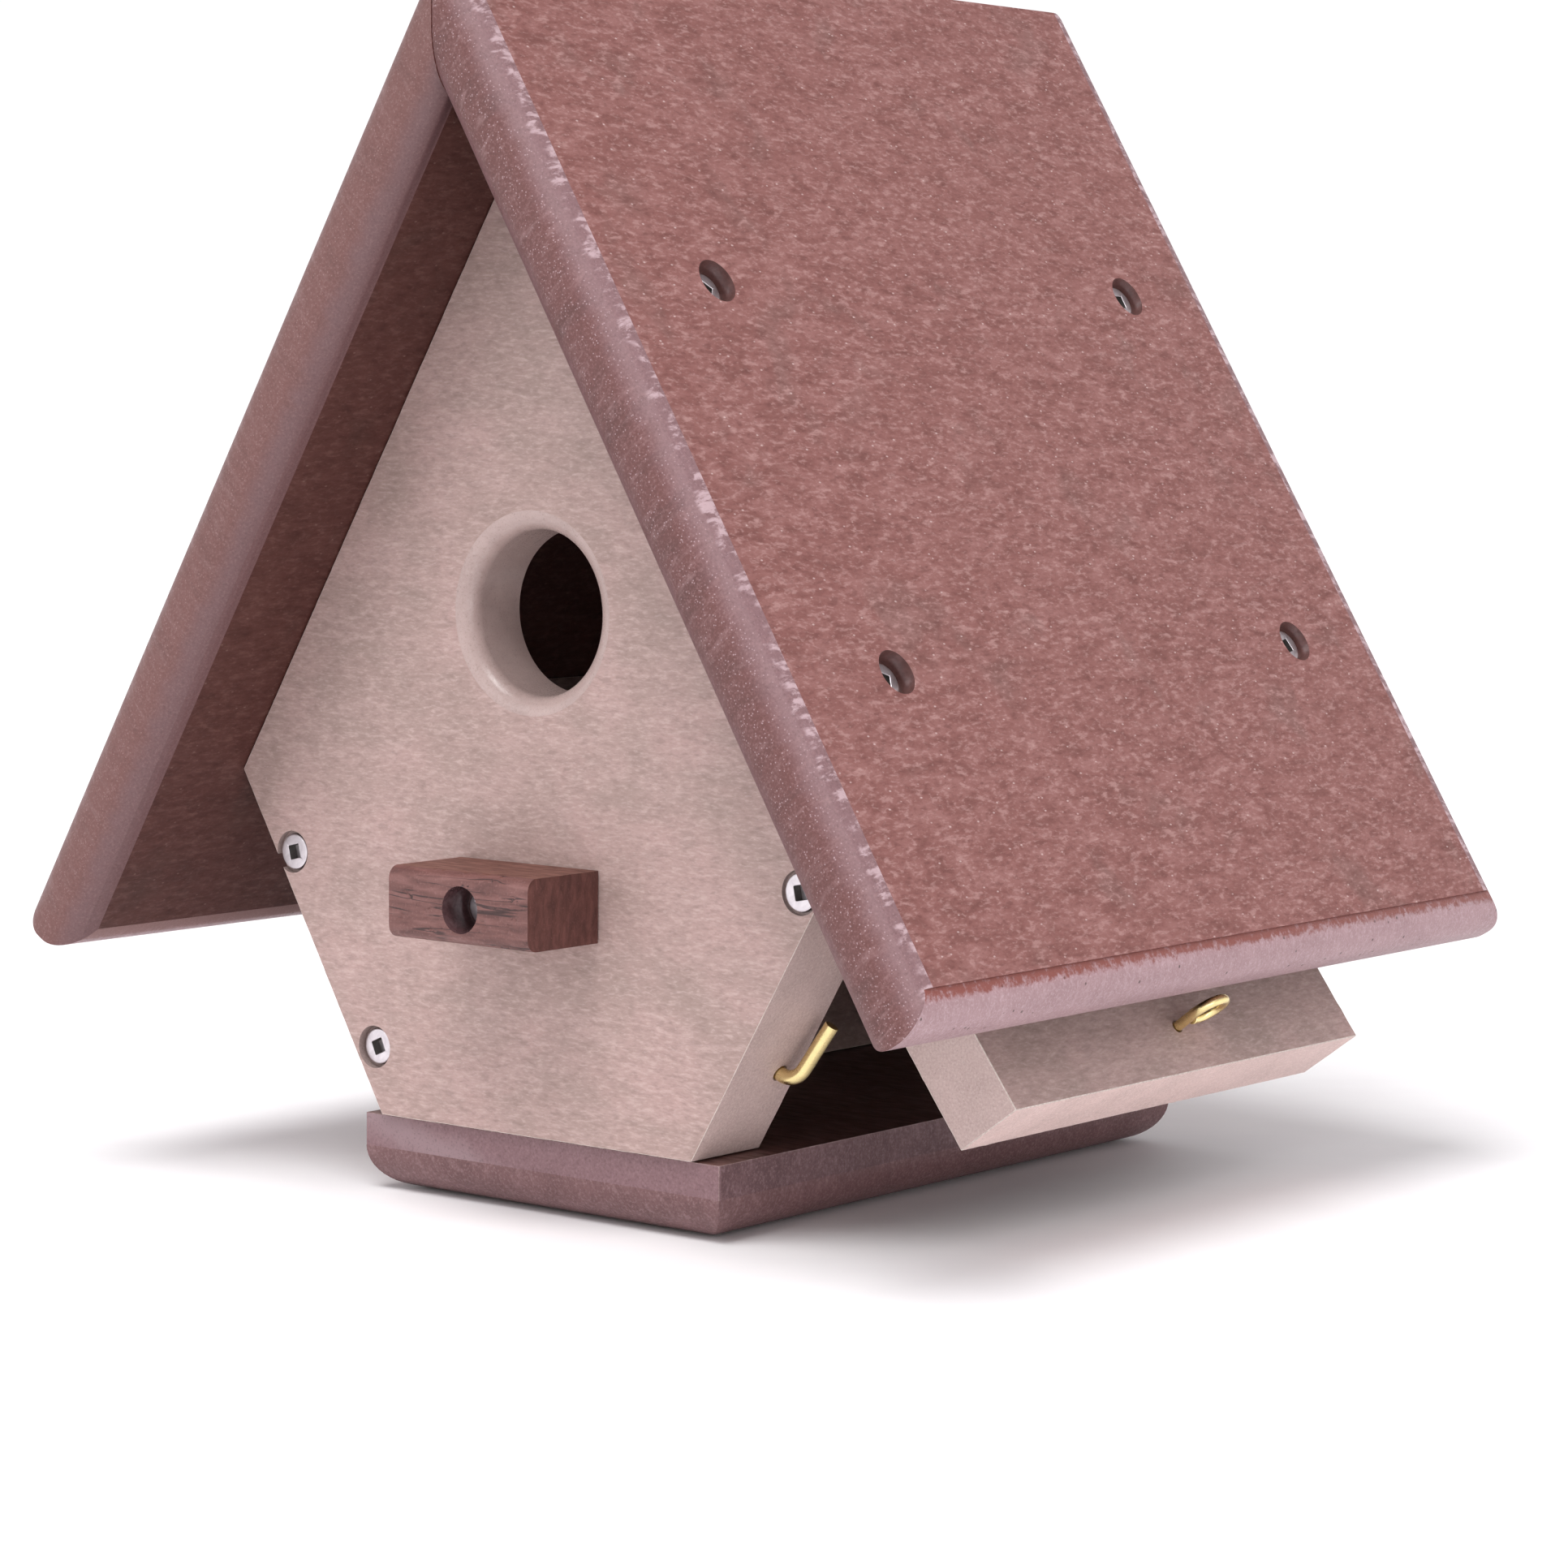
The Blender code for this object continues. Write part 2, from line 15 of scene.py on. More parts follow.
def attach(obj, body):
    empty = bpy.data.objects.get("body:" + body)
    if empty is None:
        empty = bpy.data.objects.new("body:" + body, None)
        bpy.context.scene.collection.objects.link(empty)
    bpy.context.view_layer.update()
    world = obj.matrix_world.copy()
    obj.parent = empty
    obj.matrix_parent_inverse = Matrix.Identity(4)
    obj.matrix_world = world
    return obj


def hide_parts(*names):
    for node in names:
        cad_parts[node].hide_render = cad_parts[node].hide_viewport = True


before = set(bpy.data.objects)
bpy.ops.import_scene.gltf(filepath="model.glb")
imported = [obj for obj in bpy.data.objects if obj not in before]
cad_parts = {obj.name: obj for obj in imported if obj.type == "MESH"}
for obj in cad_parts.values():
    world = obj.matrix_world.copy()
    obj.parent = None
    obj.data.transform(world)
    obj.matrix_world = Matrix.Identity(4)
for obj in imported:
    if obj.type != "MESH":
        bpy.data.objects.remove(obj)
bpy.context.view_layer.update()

MM = 0.001
GAP = 0.30
FRONT_T, BOARD_T = 19.05, 14.30
PANEL_BOTTOM_W, PANEL_WIDEST_W, PANEL_WIDEST_Z, PANEL_APEX_Z = 74.80, 147.80, 62.80, 185.30
HOUSE_D = 147.00
ROOF_FRONT_Y, ROOF_BACK_Y = -26.60, 165.90
EAVE_PAST_CORNER = 42.20
ROOF_ROUND_R, EAVE_QUIRK = 6.35, 0.35
FLOOR_HALF_W, FLOOR_FRONT_Y, FLOOR_BACK_Y, FLOOR_T, FLOOR_ROUND_R = 42.80, 1.30, 144.20, 14.30, 8.00
HOLE_X, HOLE_Z, HOLE_R, HOLE_ROUND_R, HOLE_EDGE_Y, HOLE_RELIEF_R = -0.50, 95.10, 15.00, 3.50, 13.50, 20.50
PERCH_X0, PERCH_X1, PERCH_Z0, PERCH_Z1, PERCH_OUT, PERCH_ROUND_R = -17.50, 15.85, 37.00, 50.00, 19.00, 2.30
PERCH_SCREW, PERCH_HEAD_DEPTH = (-0.30, 43.30), 6.2
SCREW_R, HEAD_R, HEAD_RIM, HEAD_H = 1.75, 3.30, 0.50, 2.60
RECESS_W, RECESS_D, TIP_L, COUNTERBORE_R = 2.70, 1.90, 4.0, 4.00
SCREW_LONG, SCREW_SHORT, HEAD_SUNK = 31.75, 25.40, 0.35
UPPER_SUNK, LOWER_SUNK, PIVOT_SUNK, ROOF_FRONT_DEPTH, ROOF_BACK_DEPTH = 0.45, 1.00, 0.05, 2.9, 2.0
LEFT_UPPER, LEFT_LOWER, PIVOT = (-60.80, 47.70), (-39.45, 12.65), (61.36, 49.70)
ROOF_SCREW_LOW, ROOF_SCREW_HIGH, ROOF_SCREW_FRONT_Y, ROOF_SCREW_BACK_Y = 122.5, 45.0, 7.90, 135.50
FLOOR_SCREW_X, FLOOR_SCREW_FRONT_Y, FLOOR_SCREW_BACK_Y = 22.0, 14.00, 135.50
DOOR_Y0, DOOR_Y1, DOOR_BELOW, DOOR_ABOVE, DOOR_OUT, DOOR_OPEN_DEG = 19.65, 132.10, 48.40, 12.50, 4.27, 36.08
LATCH_WIRE_R, LATCH_ALONG, LATCH_Y, LATCH_RISE, LATCH_LEG, LATCH_BEND_R, LATCH_IN = 1.35, 17.55, 13.90, 3.7, 13.0, 3.5, 14.0
LATCH_TURNED_DEG = 11.0
EYE_WIRE_R, EYE_DOWN, EYE_Y, EYE_LOOP_R, EYE_LOOP_RISE, EYE_LOOP_SIDE, EYE_IN = 0.95, 39.3, 77.6, 3.50, 5.70, 2.90, 9.0

Y_MID = (ROOF_FRONT_Y + ROOF_BACK_Y) / 2
SLOPE = math.atan2(PANEL_APEX_Z - PANEL_WIDEST_Z, PANEL_WIDEST_W / 2)
SLOPE_LEN = math.hypot(PANEL_APEX_Z - PANEL_WIDEST_Z, PANEL_WIDEST_W / 2)
EDGE_LEN = math.hypot((PANEL_WIDEST_W - PANEL_BOTTOM_W) / 2, PANEL_WIDEST_Z)
EDGE_UP = Vector(((PANEL_WIDEST_W - PANEL_BOTTOM_W) / 2 / EDGE_LEN, 0, PANEL_WIDEST_Z / EDGE_LEN))
EDGE_OUT = Vector((EDGE_UP.z, 0, -EDGE_UP.x))
half_b, half_w = PANEL_BOTTOM_W / 2, PANEL_WIDEST_W / 2
inset = GAP / 2
scene = bpy.context.scene
RNG = np.random.default_rng(7)


def place(x, y, z):
    return Vector((x, y - Y_MID, z + FLOOR_T)) * MM


# ------------------------------------------------------------------ camera
FOCAL_PX, FRAME_PX = 5248.0, 1932.0
cam_data = bpy.data.cameras.new("studio_camera")
cam_data.sensor_width = 36.0
cam_data.lens = FOCAL_PX / FRAME_PX * 36.0
cam_data.clip_start, cam_data.clip_end = 0.05, 50.0
camera = bpy.data.objects.new("studio_camera", cam_data)
scene.collection.objects.link(camera)
right = Vector((0.78265747, 0.62240052, 0.00805421))
down = Vector((0.06385752, -0.06741504, -0.99567938))
ahead = Vector((-0.61916839, 0.77979023, -0.09250784))
rot = Matrix((right, -down, -ahead)).transposed()
camera.matrix_world = Matrix.Translation(place(509.465, -569.025, 135.66)) @ rot.to_4x4()
scene.camera = camera
scene.view_settings.view_transform = "Standard"
scene.view_settings.look = "None"
scene.view_settings.exposure = 0.0
scene.view_settings.gamma = 1.0


# ------------------------------------------------------------------ materials
class Net:
    """Small builder for a procedural material."""

    def __init__(self, name):
        self.mat = bpy.data.materials.new(name)
        self.mat.use_nodes = True
        self.nodes = self.mat.node_tree.nodes
        self.links = self.mat.node_tree.links
        self.shader = self.nodes["Principled BSDF"]
        self.coord = self.nodes.new("ShaderNodeTexCoord").outputs["Object"]

    def mapped(self, scale=(1, 1, 1), rotation=(0, 0, 0), location=(0, 0, 0), source=None):
        """Turns the coordinates first, so that scale then stretches along the turned axes."""
        vector = source or self.coord
        if any(rotation):
            turned = self.nodes.new("ShaderNodeMapping")
            turned.inputs["Rotation"].default_value = rotation
            self.links.new(vector, turned.inputs["Vector"])
            vector = turned.outputs["Vector"]
        node = self.nodes.new("ShaderNodeMapping")
        node.inputs["Scale"].default_value = scale
        node.inputs["Location"].default_value = location
        self.links.new(vector, node.inputs["Vector"])
        return node.outputs["Vector"]

    def noise(self, vector, scale, detail=2.0, rough=0.5, distortion=0.0, kind="FBM"):
        node = self.nodes.new("ShaderNodeTexNoise")
        node.noise_type = kind
        node.inputs["Scale"].default_value = scale
        node.inputs["Detail"].default_value = detail
        node.inputs["Roughness"].default_value = rough
        node.inputs["Distortion"].default_value = distortion
        self.links.new(vector, node.inputs["Vector"])
        return node.outputs["Fac"]

    def voronoi(self, vector, scale, feature="F1", randomness=1.0, out="Distance"):
        node = self.nodes.new("ShaderNodeTexVoronoi")
        node.feature = feature
        node.inputs["Scale"].default_value = scale
        node.inputs["Randomness"].default_value = randomness
        self.links.new(vector, node.inputs["Vector"])
        return node.outputs[out]

    def ramp(self, fac, stops, interpolation="LINEAR"):
        node = self.nodes.new("ShaderNodeValToRGB")
        ramp = node.color_ramp
        ramp.interpolation = interpolation
        while len(ramp.elements) < len(stops):
            ramp.elements.new(0.5)
        for element, (at, colour) in zip(ramp.elements, stops):
            element.position = at
            element.color = (*colour, 1.0) if hasattr(colour, "__len__") else (colour, colour, colour, 1.0)
        self.links.new(fac, node.inputs["Fac"])
        return node.outputs["Color"]

    def span(self, fac, a, b, lo=0.0, hi=1.0, smooth=True):
        node = self.nodes.new("ShaderNodeMapRange")
        node.interpolation_type = "SMOOTHSTEP" if smooth else "LINEAR"
        for key, value in (("From Min", a), ("From Max", b), ("To Min", lo), ("To Max", hi)):
            node.inputs[key].default_value = value
        self.links.new(fac, node.inputs["Value"])
        return node.outputs["Result"]

    def mix(self, fac, a, b, blend="MIX"):
        node = self.nodes.new("ShaderNodeMix")
        node.data_type = "RGBA"
        node.blend_type = blend
        for value, key in ((fac, 0), (a, 6), (b, 7)):
            if isinstance(value, (int, float)):
                node.inputs[key].default_value = value if key == 0 else (value, value, value, 1)
            elif isinstance(value, (tuple, list)):
                node.inputs[key].default_value = (*value, 1.0)
            else:
                self.links.new(value, node.inputs[key])
        return node.outputs[2]

    def math(self, op, a, b=0.0):
        node = self.nodes.new("ShaderNodeMath")
        node.operation = op
        for i, value in enumerate((a, b)):
            if isinstance(value, (int, float)):
                node.inputs[i].default_value = value
            else:
                self.links.new(value, node.inputs[i])
        return node.outputs[0]

    def axis(self, vector, which):
        node = self.nodes.new("ShaderNodeSeparateXYZ")
        self.links.new(vector, node.inputs[0])
        return node.outputs["XYZ".index(which)]

    def bump(self, height, strength, distance):
        node = self.nodes.new("ShaderNodeBump")
        node.inputs["Strength"].default_value = strength
        node.inputs["Distance"].default_value = distance
        self.links.new(height, node.inputs["Height"])
        return node.outputs["Normal"]

    def done(self, colour=None, roughness=None, normal=None, **fixed):
        s = self.shader.inputs
        for value, key in ((colour, "Base Color"), (roughness, "Roughness"), (normal, "Normal")):
            if value is None:
                continue
            if isinstance(value, (int, float)):
                s[key].default_value = value
            elif isinstance(value, (tuple, list)):
                s[key].default_value = (*value, 1.0)
            else:
                self.links.new(value, s[key])
        for key, value in fixed.items():
            s[key.replace("_", " ")].default_value = value
        return self.mat


def tan_face(name, along=(0.30, 1, 1), shade=1.0):
    """Moulded face of the tan boards: soft pink and grey-green clouds under faint fibre-like flecks."""
    n = Net(name)
    k = shade
    cloud = n.noise(n.mapped((0.8, 1, 1)), 62, 3, 0.55, 0.5)
    patch = n.noise(n.mapped(along, location=(3, 1, 2)), 240, 3, 0.55, 0.3)
    fleck = n.noise(n.mapped(along, location=(9, 4, 7)), 1050, 3, 0.62, 0.35)
    grain = n.noise(n.mapped(along, location=(2, 8, 5)), 2400, 2, 0.6, 0.2)
    base = n.ramp(cloud, [(0.30, (0.352 * k, 0.252 * k, 0.226 * k)), (0.48, (0.392 * k, 0.274 * k, 0.250 * k)),
                          (0.68, (0.440 * k, 0.298 * k, 0.277 * k))])
    base = n.mix(n.span(patch, 0.48, 0.68, 0.0, 0.34), base, (0.490 * k, 0.345 * k, 0.325 * k))
    base = n.mix(n.span(patch, 0.47, 0.30, 0.0, 0.30), base, (0.300 * k, 0.220 * k, 0.196 * k))
    base = n.mix(n.span(fleck, 0.50, 0.68, 0.0, 0.44), base, (0.560 * k, 0.415 * k, 0.390 * k))
    base = n.mix(n.span(fleck, 0.48, 0.32, 0.0, 0.42), base, (0.262 * k, 0.182 * k, 0.165 * k))
    base = n.mix(n.span(grain, 0.52, 0.70, 0.0, 0.34), base, (0.580 * k, 0.445 * k, 0.420 * k))
    base = n.mix(n.span(grain, 0.46, 0.32, 0.0, 0.28), base, (0.255 * k, 0.178 * k, 0.163 * k))
    rough = n.span(fleck, 0.3, 0.7, 0.62, 0.50)
    height = n.math("ADD", n.math("MULTIPLY", fleck, 0.6), n.math("MULTIPLY", grain, 0.4))
    return n.done(base, rough, n.bump(height, 0.30, 0.00010), Specular_IOR_Level=0.4)


def tan_cut(name, stretch=(1, 1, 1), rotation=(0, 0, 0), streak=0.14, rough=(0.52, 0.40), shade=1.0):
    """Sawn or routed surface of a tan board: greyer and smoother, finely speckled, with faint cutter marks."""
    n = Net(name)
    k = shade
    marks = n.noise(n.mapped(stretch, rotation), 900, 3, 0.6, 0.3)
    wide = n.noise(n.mapped((1, 1, 1)), 120, 3, 0.6, 0.4)
    fine = n.noise(n.mapped((1, 1, 1), location=(4, 4, 1)), 2300, 3, 0.65)
    spots = n.voronoi(n.mapped((1, 1, 1), location=(2, 9, 4)), 700)
    base = n.ramp(wide, [(0.32, (0.440 * k, 0.322 * k, 0.300 * k)), (0.70, (0.520 * k, 0.384 * k, 0.360 * k))])
    base = n.mix(n.span(marks, 0.42, 0.70, 0.0, streak), base, (0.620 * k, 0.505 * k, 0.470 * k))
    base = n.mix(n.span(fine, 0.50, 0.68, 0.0, 0.46), base, (0.640 * k, 0.530 * k, 0.500 * k))
    base = n.mix(n.span(fine, 0.48, 0.32, 0.0, 0.34), base, (0.280 * k, 0.215 * k, 0.190 * k))
    base = n.mix(n.span(spots, 0.16, 0.06, 0.0, 0.30), base, (0.22 * k, 0.165 * k, 0.145 * k))
    height = n.math("ADD", n.math("MULTIPLY", marks, 0.5), n.math("MULTIPLY", fine, 0.5))
    return n.done(base, n.span(fine, 0.3, 0.7, rough[0], rough[1]), n.bump(height, 0.32, 0.00010), Specular_IOR_Level=0.5)


def tan_arris(name):
    n = Net(name)
    fine = n.noise(n.mapped((1, 1, 1)), 1500, 3, 0.6)
    base = n.ramp(fine, [(0.35, (0.50, 0.41, 0.37)), (0.65, (0.72, 0.63, 0.59))])
    return n.done(base, 0.5, n.bump(fine, 0.4, 0.0001))


def roof_face(name, tint=(1.0, 1.0, 1.0), contrast=1.0):
    """Moulded face of the roof boards: brick brown with pale flecks that run with the board."""
    n = Net(name)

    def c(r, g, b):
        return (r * tint[0], g * tint[1], b * tint[2])
    along = (1, 0.34, 1)
    cloud = n.noise(n.mapped((1, 1, 1)), 50, 3, 0.6, 0.4)
    patch = n.noise(n.mapped(along, location=(2, 6, 3)), 330, 3, 0.58, 0.6)
    fleck = n.noise(n.mapped(along, location=(8, 1, 5)), 900, 3, 0.62, 0.25)
    dots = n.noise(n.mapped((1, 0.42, 1), location=(4, 9, 2)), 1700, 2, 0.55, 0.1)
    glint = n.voronoi(n.mapped((1, 0.55, 1), location=(1, 3, 8)), 520)
    k = contrast
    base = n.ramp(patch, [(0.30, c(0.185, 0.064, 0.055)), (0.48, c(0.236, 0.089, 0.079)), (0.70, c(0.292, 0.128, 0.117))])
    base = n.mix(n.span(cloud, 0.54, 0.72, 0.0, 0.40), base, c(0.190, 0.110, 0.098))
    base = n.mix(n.span(fleck, 0.52, 0.70, 0.0, 0.62 * k), base, c(0.445, 0.255, 0.238))
    base = n.mix(n.span(fleck, 0.46, 0.30, 0.0, 0.46 * k), base, c(0.120, 0.034, 0.028))
    base = n.mix(n.span(dots, 0.54, 0.72, 0.0, 0.48 * k), base, c(0.465, 0.275, 0.258))
    base = n.mix(n.span(dots, 0.44, 0.30, 0.0, 0.34 * k), base, c(0.125, 0.037, 0.031))
    base = n.mix(n.span(glint, 0.12, 0.05, 0.0, 0.50 * k), base, c(0.760, 0.600, 0.580))
    rough = n.span(fleck, 0.3, 0.7, 0.58, 0.44)
    height = n.math("ADD", n.math("MULTIPLY", fleck, 0.6), n.math("MULTIPLY", dots, 0.4))
    return n.done(base, rough, n.bump(height, 0.40, 0.00012), Specular_IOR_Level=0.45)


def routed_end(name, rotation, inner, body, outer, edge, shoulder, streak=0.5, glitter=0.5):
    """Front or back edge of a roof board: lilac and smooth on the inner side, torn and sparkling outwards,
    with slanting cutter streaks across it and a pale broken line along its outer edge, which is a painted highlight."""
    n = Net(name)
    turned = n.mapped((1, 1, 1), rotation)
    across = n.math("DIVIDE", n.math("SUBTRACT", n.axis(turned, "Z"), (PANEL_APEX_Z + FLOOR_T) * MM * math.cos(SLOPE)),
                    BOARD_T * MM)
    lines = n.noise(n.mapped((1.0, 0.35, 0.22), (rotation[0], rotation[1] * 0.72, 0)), 620, 4, 0.65, 0.3)
    broad = n.noise(n.mapped((1.0, 0.5, 0.30), (rotation[0], rotation[1] * 0.72, 0), location=(4, 2, 2)), 190, 3, 0.6, 0.4)
    fine = n.noise(n.mapped((1, 1, 1), location=(1, 7, 3)), 2200, 3, 0.65)
    spark = n.voronoi(n.mapped((1, 1, 1), location=(3, 2, 9)), 1500)
    ragged = n.math("ADD", across, n.span(broad, 0.25, 0.75, -0.07, 0.07, smooth=False))
    base = n.mix(n.span(ragged, 0.10, 0.34), inner, body)
    torn = n.math("MULTIPLY", n.span(ragged, 0.16, 0.40), n.span(ragged, 0.99, 0.80, 0.35, 1.0))
    base = n.mix(n.span(ragged, 0.66, 0.96, 0.0, 0.75), base, shoulder)
    base = n.mix(n.math("MULTIPLY", torn, n.span(broad, 0.48, 0.70, 0.0, streak)), base, tuple(c * 0.58 for c in body))
    base = n.mix(n.math("MULTIPLY", torn, n.span(lines, 0.52, 0.72, 0.0, streak * 0.9)), base, outer)
    base = n.mix(n.span(fine, 0.50, 0.68, 0.0, 0.40), base, outer)
    base = n.mix(n.span(fine, 0.46, 0.32, 0.0, 0.30), base, tuple(c * 0.5 for c in body))
    base = n.mix(n.math("MULTIPLY", torn, n.span(spark, 0.26, 0.10, 0.0, glitter)), base, edge)
    # painted highlight: a pale broken line along the outermost edge, in the edge colour
    painted_highlight_rim = n.math("MULTIPLY", n.span(ragged, 0.955, 0.995), n.span(lines, 0.46, 0.62, 0.0, 0.70))
    base = n.mix(painted_highlight_rim, base, edge)
    height = n.math("ADD", n.math("MULTIPLY", lines, 0.5), n.math("MULTIPLY", fine, 0.5))
    return n.done(base, n.span(lines, 0.35, 0.7, 0.56, 0.40), n.bump(height, 0.40, 0.00014), Specular_IOR_Level=0.5)


def routed_eave(name, rotation):
    """Eave: pale lilac and finely brushed, with tiny pits, and a ragged dark brick-red line along its top that is
    painted shade under the quirk step.
    """
    n = Net(name)
    turned = n.mapped((1, 1, 1), rotation)
    across = n.math("DIVIDE", n.math("SUBTRACT", n.axis(turned, "Z"), (PANEL_APEX_Z + FLOOR_T) * MM * math.cos(SLOPE)),
                    BOARD_T * MM)
    wide = n.noise(n.mapped((1, 0.4, 1)), 120, 3, 0.6, 0.4)
    fine = n.noise(n.mapped((1, 1, 1), location=(1, 7, 3)), 2300, 3, 0.65)
    brushed = n.noise(n.mapped((0.4, 1.0, 0.4), location=(5, 5, 5)), 900, 3, 0.6, 0.2)
    pit = n.voronoi(n.mapped((1, 1, 1), location=(6, 2, 9)), 330)
    tear = n.noise(n.mapped((1, 1, 1), location=(7, 1, 1)), 700, 4, 0.7)
    base = n.ramp(wide, [(0.32, (0.282, 0.166, 0.178)), (0.68, (0.352, 0.218, 0.233))])
    base = n.mix(n.span(brushed, 0.46, 0.70, 0.0, 0.24), base, (0.510, 0.370, 0.398))
    base = n.mix(n.span(fine, 0.50, 0.68, 0.0, 0.34), base, (0.540, 0.400, 0.430))
    base = n.mix(n.span(fine, 0.46, 0.32, 0.0, 0.22), base, (0.240, 0.145, 0.150))
    base = n.mix(n.span(pit, 0.125, 0.060, 0.0, 0.85), base, (0.060, 0.026, 0.024))
    ragged = n.math("ADD", across, n.span(tear, 0.3, 0.7, -0.022, 0.022, smooth=False))
    # painted shade: a ragged dark line along the top, under the quirk step
    base = n.mix(n.span(ragged, 0.955, 0.985, 0.0, 0.95), base, (0.190, 0.046, 0.034))
    base = n.mix(n.span(ragged, 0.09, 0.02, 0.0, 0.75), base, (0.215, 0.120, 0.105))
    return n.done(base, n.span(fine, 0.35, 0.7, 0.52, 0.40), n.bump(fine, 0.30, 0.00010), Specular_IOR_Level=0.5)


def brown_edge(name, colours, speck, painted_front_light=False, scale=2000):
    """Cut edge of the dark floor board, finely speckled; the front one is mixed paler as painted light and carries a
    pale diagonal band of painted sheen.
    """
    n = Net(name)
    wide = n.noise(n.mapped((1, 1, 1)), 110, 3, 0.6, 0.5)
    fine = n.noise(n.mapped((1, 1, 1), location=(1, 7, 3)), scale, 3, 0.65)
    saw = n.noise(n.mapped((1.0, 1.0, 0.25), (0, 0.5, 0)), 700, 3, 0.6)
    base = n.ramp(wide, [(0.32, colours[0]), (0.68, colours[1])])
    base = n.mix(n.span(saw, 0.48, 0.72, 0.0, 0.30), base, speck)
    if painted_front_light:
        x, z = n.axis(n.coord, "X"), n.axis(n.coord, "Z")
        # distance from the line that runs down to the right from the left-hand top corner
        off = n.math("ADD", n.math("MULTIPLY", n.math("ADD", x, 0.034), 0.30), n.math("SUBTRACT", z, 0.0115))
        off = n.math("ADD", off, n.span(wide, 0.3, 0.7, -0.0012, 0.0012, smooth=False))
        front = n.span(n.axis(n.coord, "Y"), (FLOOR_FRONT_Y - Y_MID + 0.9) * MM, (FLOOR_FRONT_Y - Y_MID + 0.3) * MM)
        # painted light: the front face is mixed paler
        base = n.mix(n.math("MULTIPLY", front, 0.75), base, (0.216, 0.118, 0.130))
        # painted sheen: a pale diagonal band on the front face, fading out to the right
        band = n.math("MULTIPLY", n.span(n.math("ABSOLUTE", off), 0.0060, 0.0006), n.span(x, 0.022, -0.020))
        base = n.mix(n.math("MULTIPLY", front, n.math("MULTIPLY", band, 0.62)), base, (0.300, 0.210, 0.225))
    base = n.mix(n.span(fine, 0.50, 0.68, 0.0, 0.46), base, speck)
    base = n.mix(n.span(fine, 0.46, 0.32, 0.0, 0.32), base, tuple(c * 0.5 for c in colours[0]))
    height = n.math("ADD", n.math("MULTIPLY", saw, 0.4), n.math("MULTIPLY", fine, 0.6))
    return n.done(base, n.span(fine, 0.3, 0.7, 0.55, 0.42), n.bump(height, 0.35, 0.00012), Specular_IOR_Level=0.5)


def brown_face(name, tint=(1.0, 1.0, 1.0), along=(0.25, 1, 1), cracks=0.0):
    """Dark brown board face, lightly grained along its length, with thin dark cracks where it is embossed."""
    n = Net(name)

    def c(r, g, b):
        return (r * tint[0], g * tint[1], b * tint[2])
    grain = n.noise(n.mapped(along), 700, 3, 0.6, 0.5)
    fine = n.noise(n.mapped((1, 1, 1)), 2200, 3, 0.6)
    base = n.ramp(grain, [(0.32, c(0.105, 0.045, 0.038)), (0.52, c(0.160, 0.073, 0.061)), (0.72, c(0.220, 0.110, 0.095))])
    base = n.mix(n.span(fine, 0.54, 0.70, 0.0, 0.34), base, c(0.32, 0.19, 0.17))
    height = grain
    if cracks:
        wander = n.noise(n.mapped((0.06, 1, 1), location=(6, 2, 4)), 520, 2, 0.5, 0.12)
        broken = n.noise(n.mapped((0.30, 1, 1), location=(1, 5, 8)), 210, 2, 0.5)
        line = n.span(n.math("ABSOLUTE", n.math("SUBTRACT", wander, 0.5)), 0.026, 0.005)
        line = n.math("MULTIPLY", line, n.span(broken, 0.45, 0.55))
        base = n.mix(n.math("MULTIPLY", line, cracks), base, c(0.030, 0.011, 0.010))
        height = n.math("SUBTRACT", grain, line)
    return n.done(base, n.span(grain, 0.3, 0.7, 0.55, 0.42), n.bump(height, 0.40, 0.00014), Specular_IOR_Level=0.5)


def bore_dark(name, colour, rough=0.32):
    n = Net(name)
    rings = n.noise(n.mapped((1, 1, 1)), 1500, 2, 0.6)
    base = n.ramp(rings, [(0.35, tuple(c * 0.75 for c in colour)), (0.65, colour)])
    return n.done(base, rough, n.bump(rings, 0.15, 0.00006), Specular_IOR_Level=0.7)


def brass(name, tint=(0.93, 0.77, 0.38), rough=(0.24, 0.28)):
    n = Net(name)
    draw = n.noise(n.mapped((1, 1, 1)), 900, 3, 0.6, 0.2)
    tarnish = n.noise(n.mapped((1, 1, 1)), 260, 3, 0.6, 0.5)
    base = n.ramp(tarnish, [(0.35, tuple(c * 0.90 for c in tint)), (0.62, tint)])
    return n.done(base, n.span(draw, 0.3, 0.7, rough[0], rough[1]), n.bump(tarnish, 0.05, 0.00002), Metallic=1.0)


def steel(name, low=(0.64, 0.59, 0.62), high=(0.77, 0.72, 0.75), rough=(0.34, 0.46), metallic=1.0):
    n = Net(name)
    brushed = n.noise(n.mapped((1, 1, 1)), 2200, 3, 0.65, 0.4)
    smear = n.noise(n.mapped((1, 1, 1)), 420, 2, 0.6, 0.8)
    base = n.ramp(smear, [(0.35, low), (0.65, high)])
    return n.done(base, n.span(brushed, 0.3, 0.7, rough[0], rough[1]), n.bump(brushed, 0.12, 0.00004), Metallic=metallic)


SLOPE_R, SLOPE_L = (0, -SLOPE, 0), (0, SLOPE, 0)

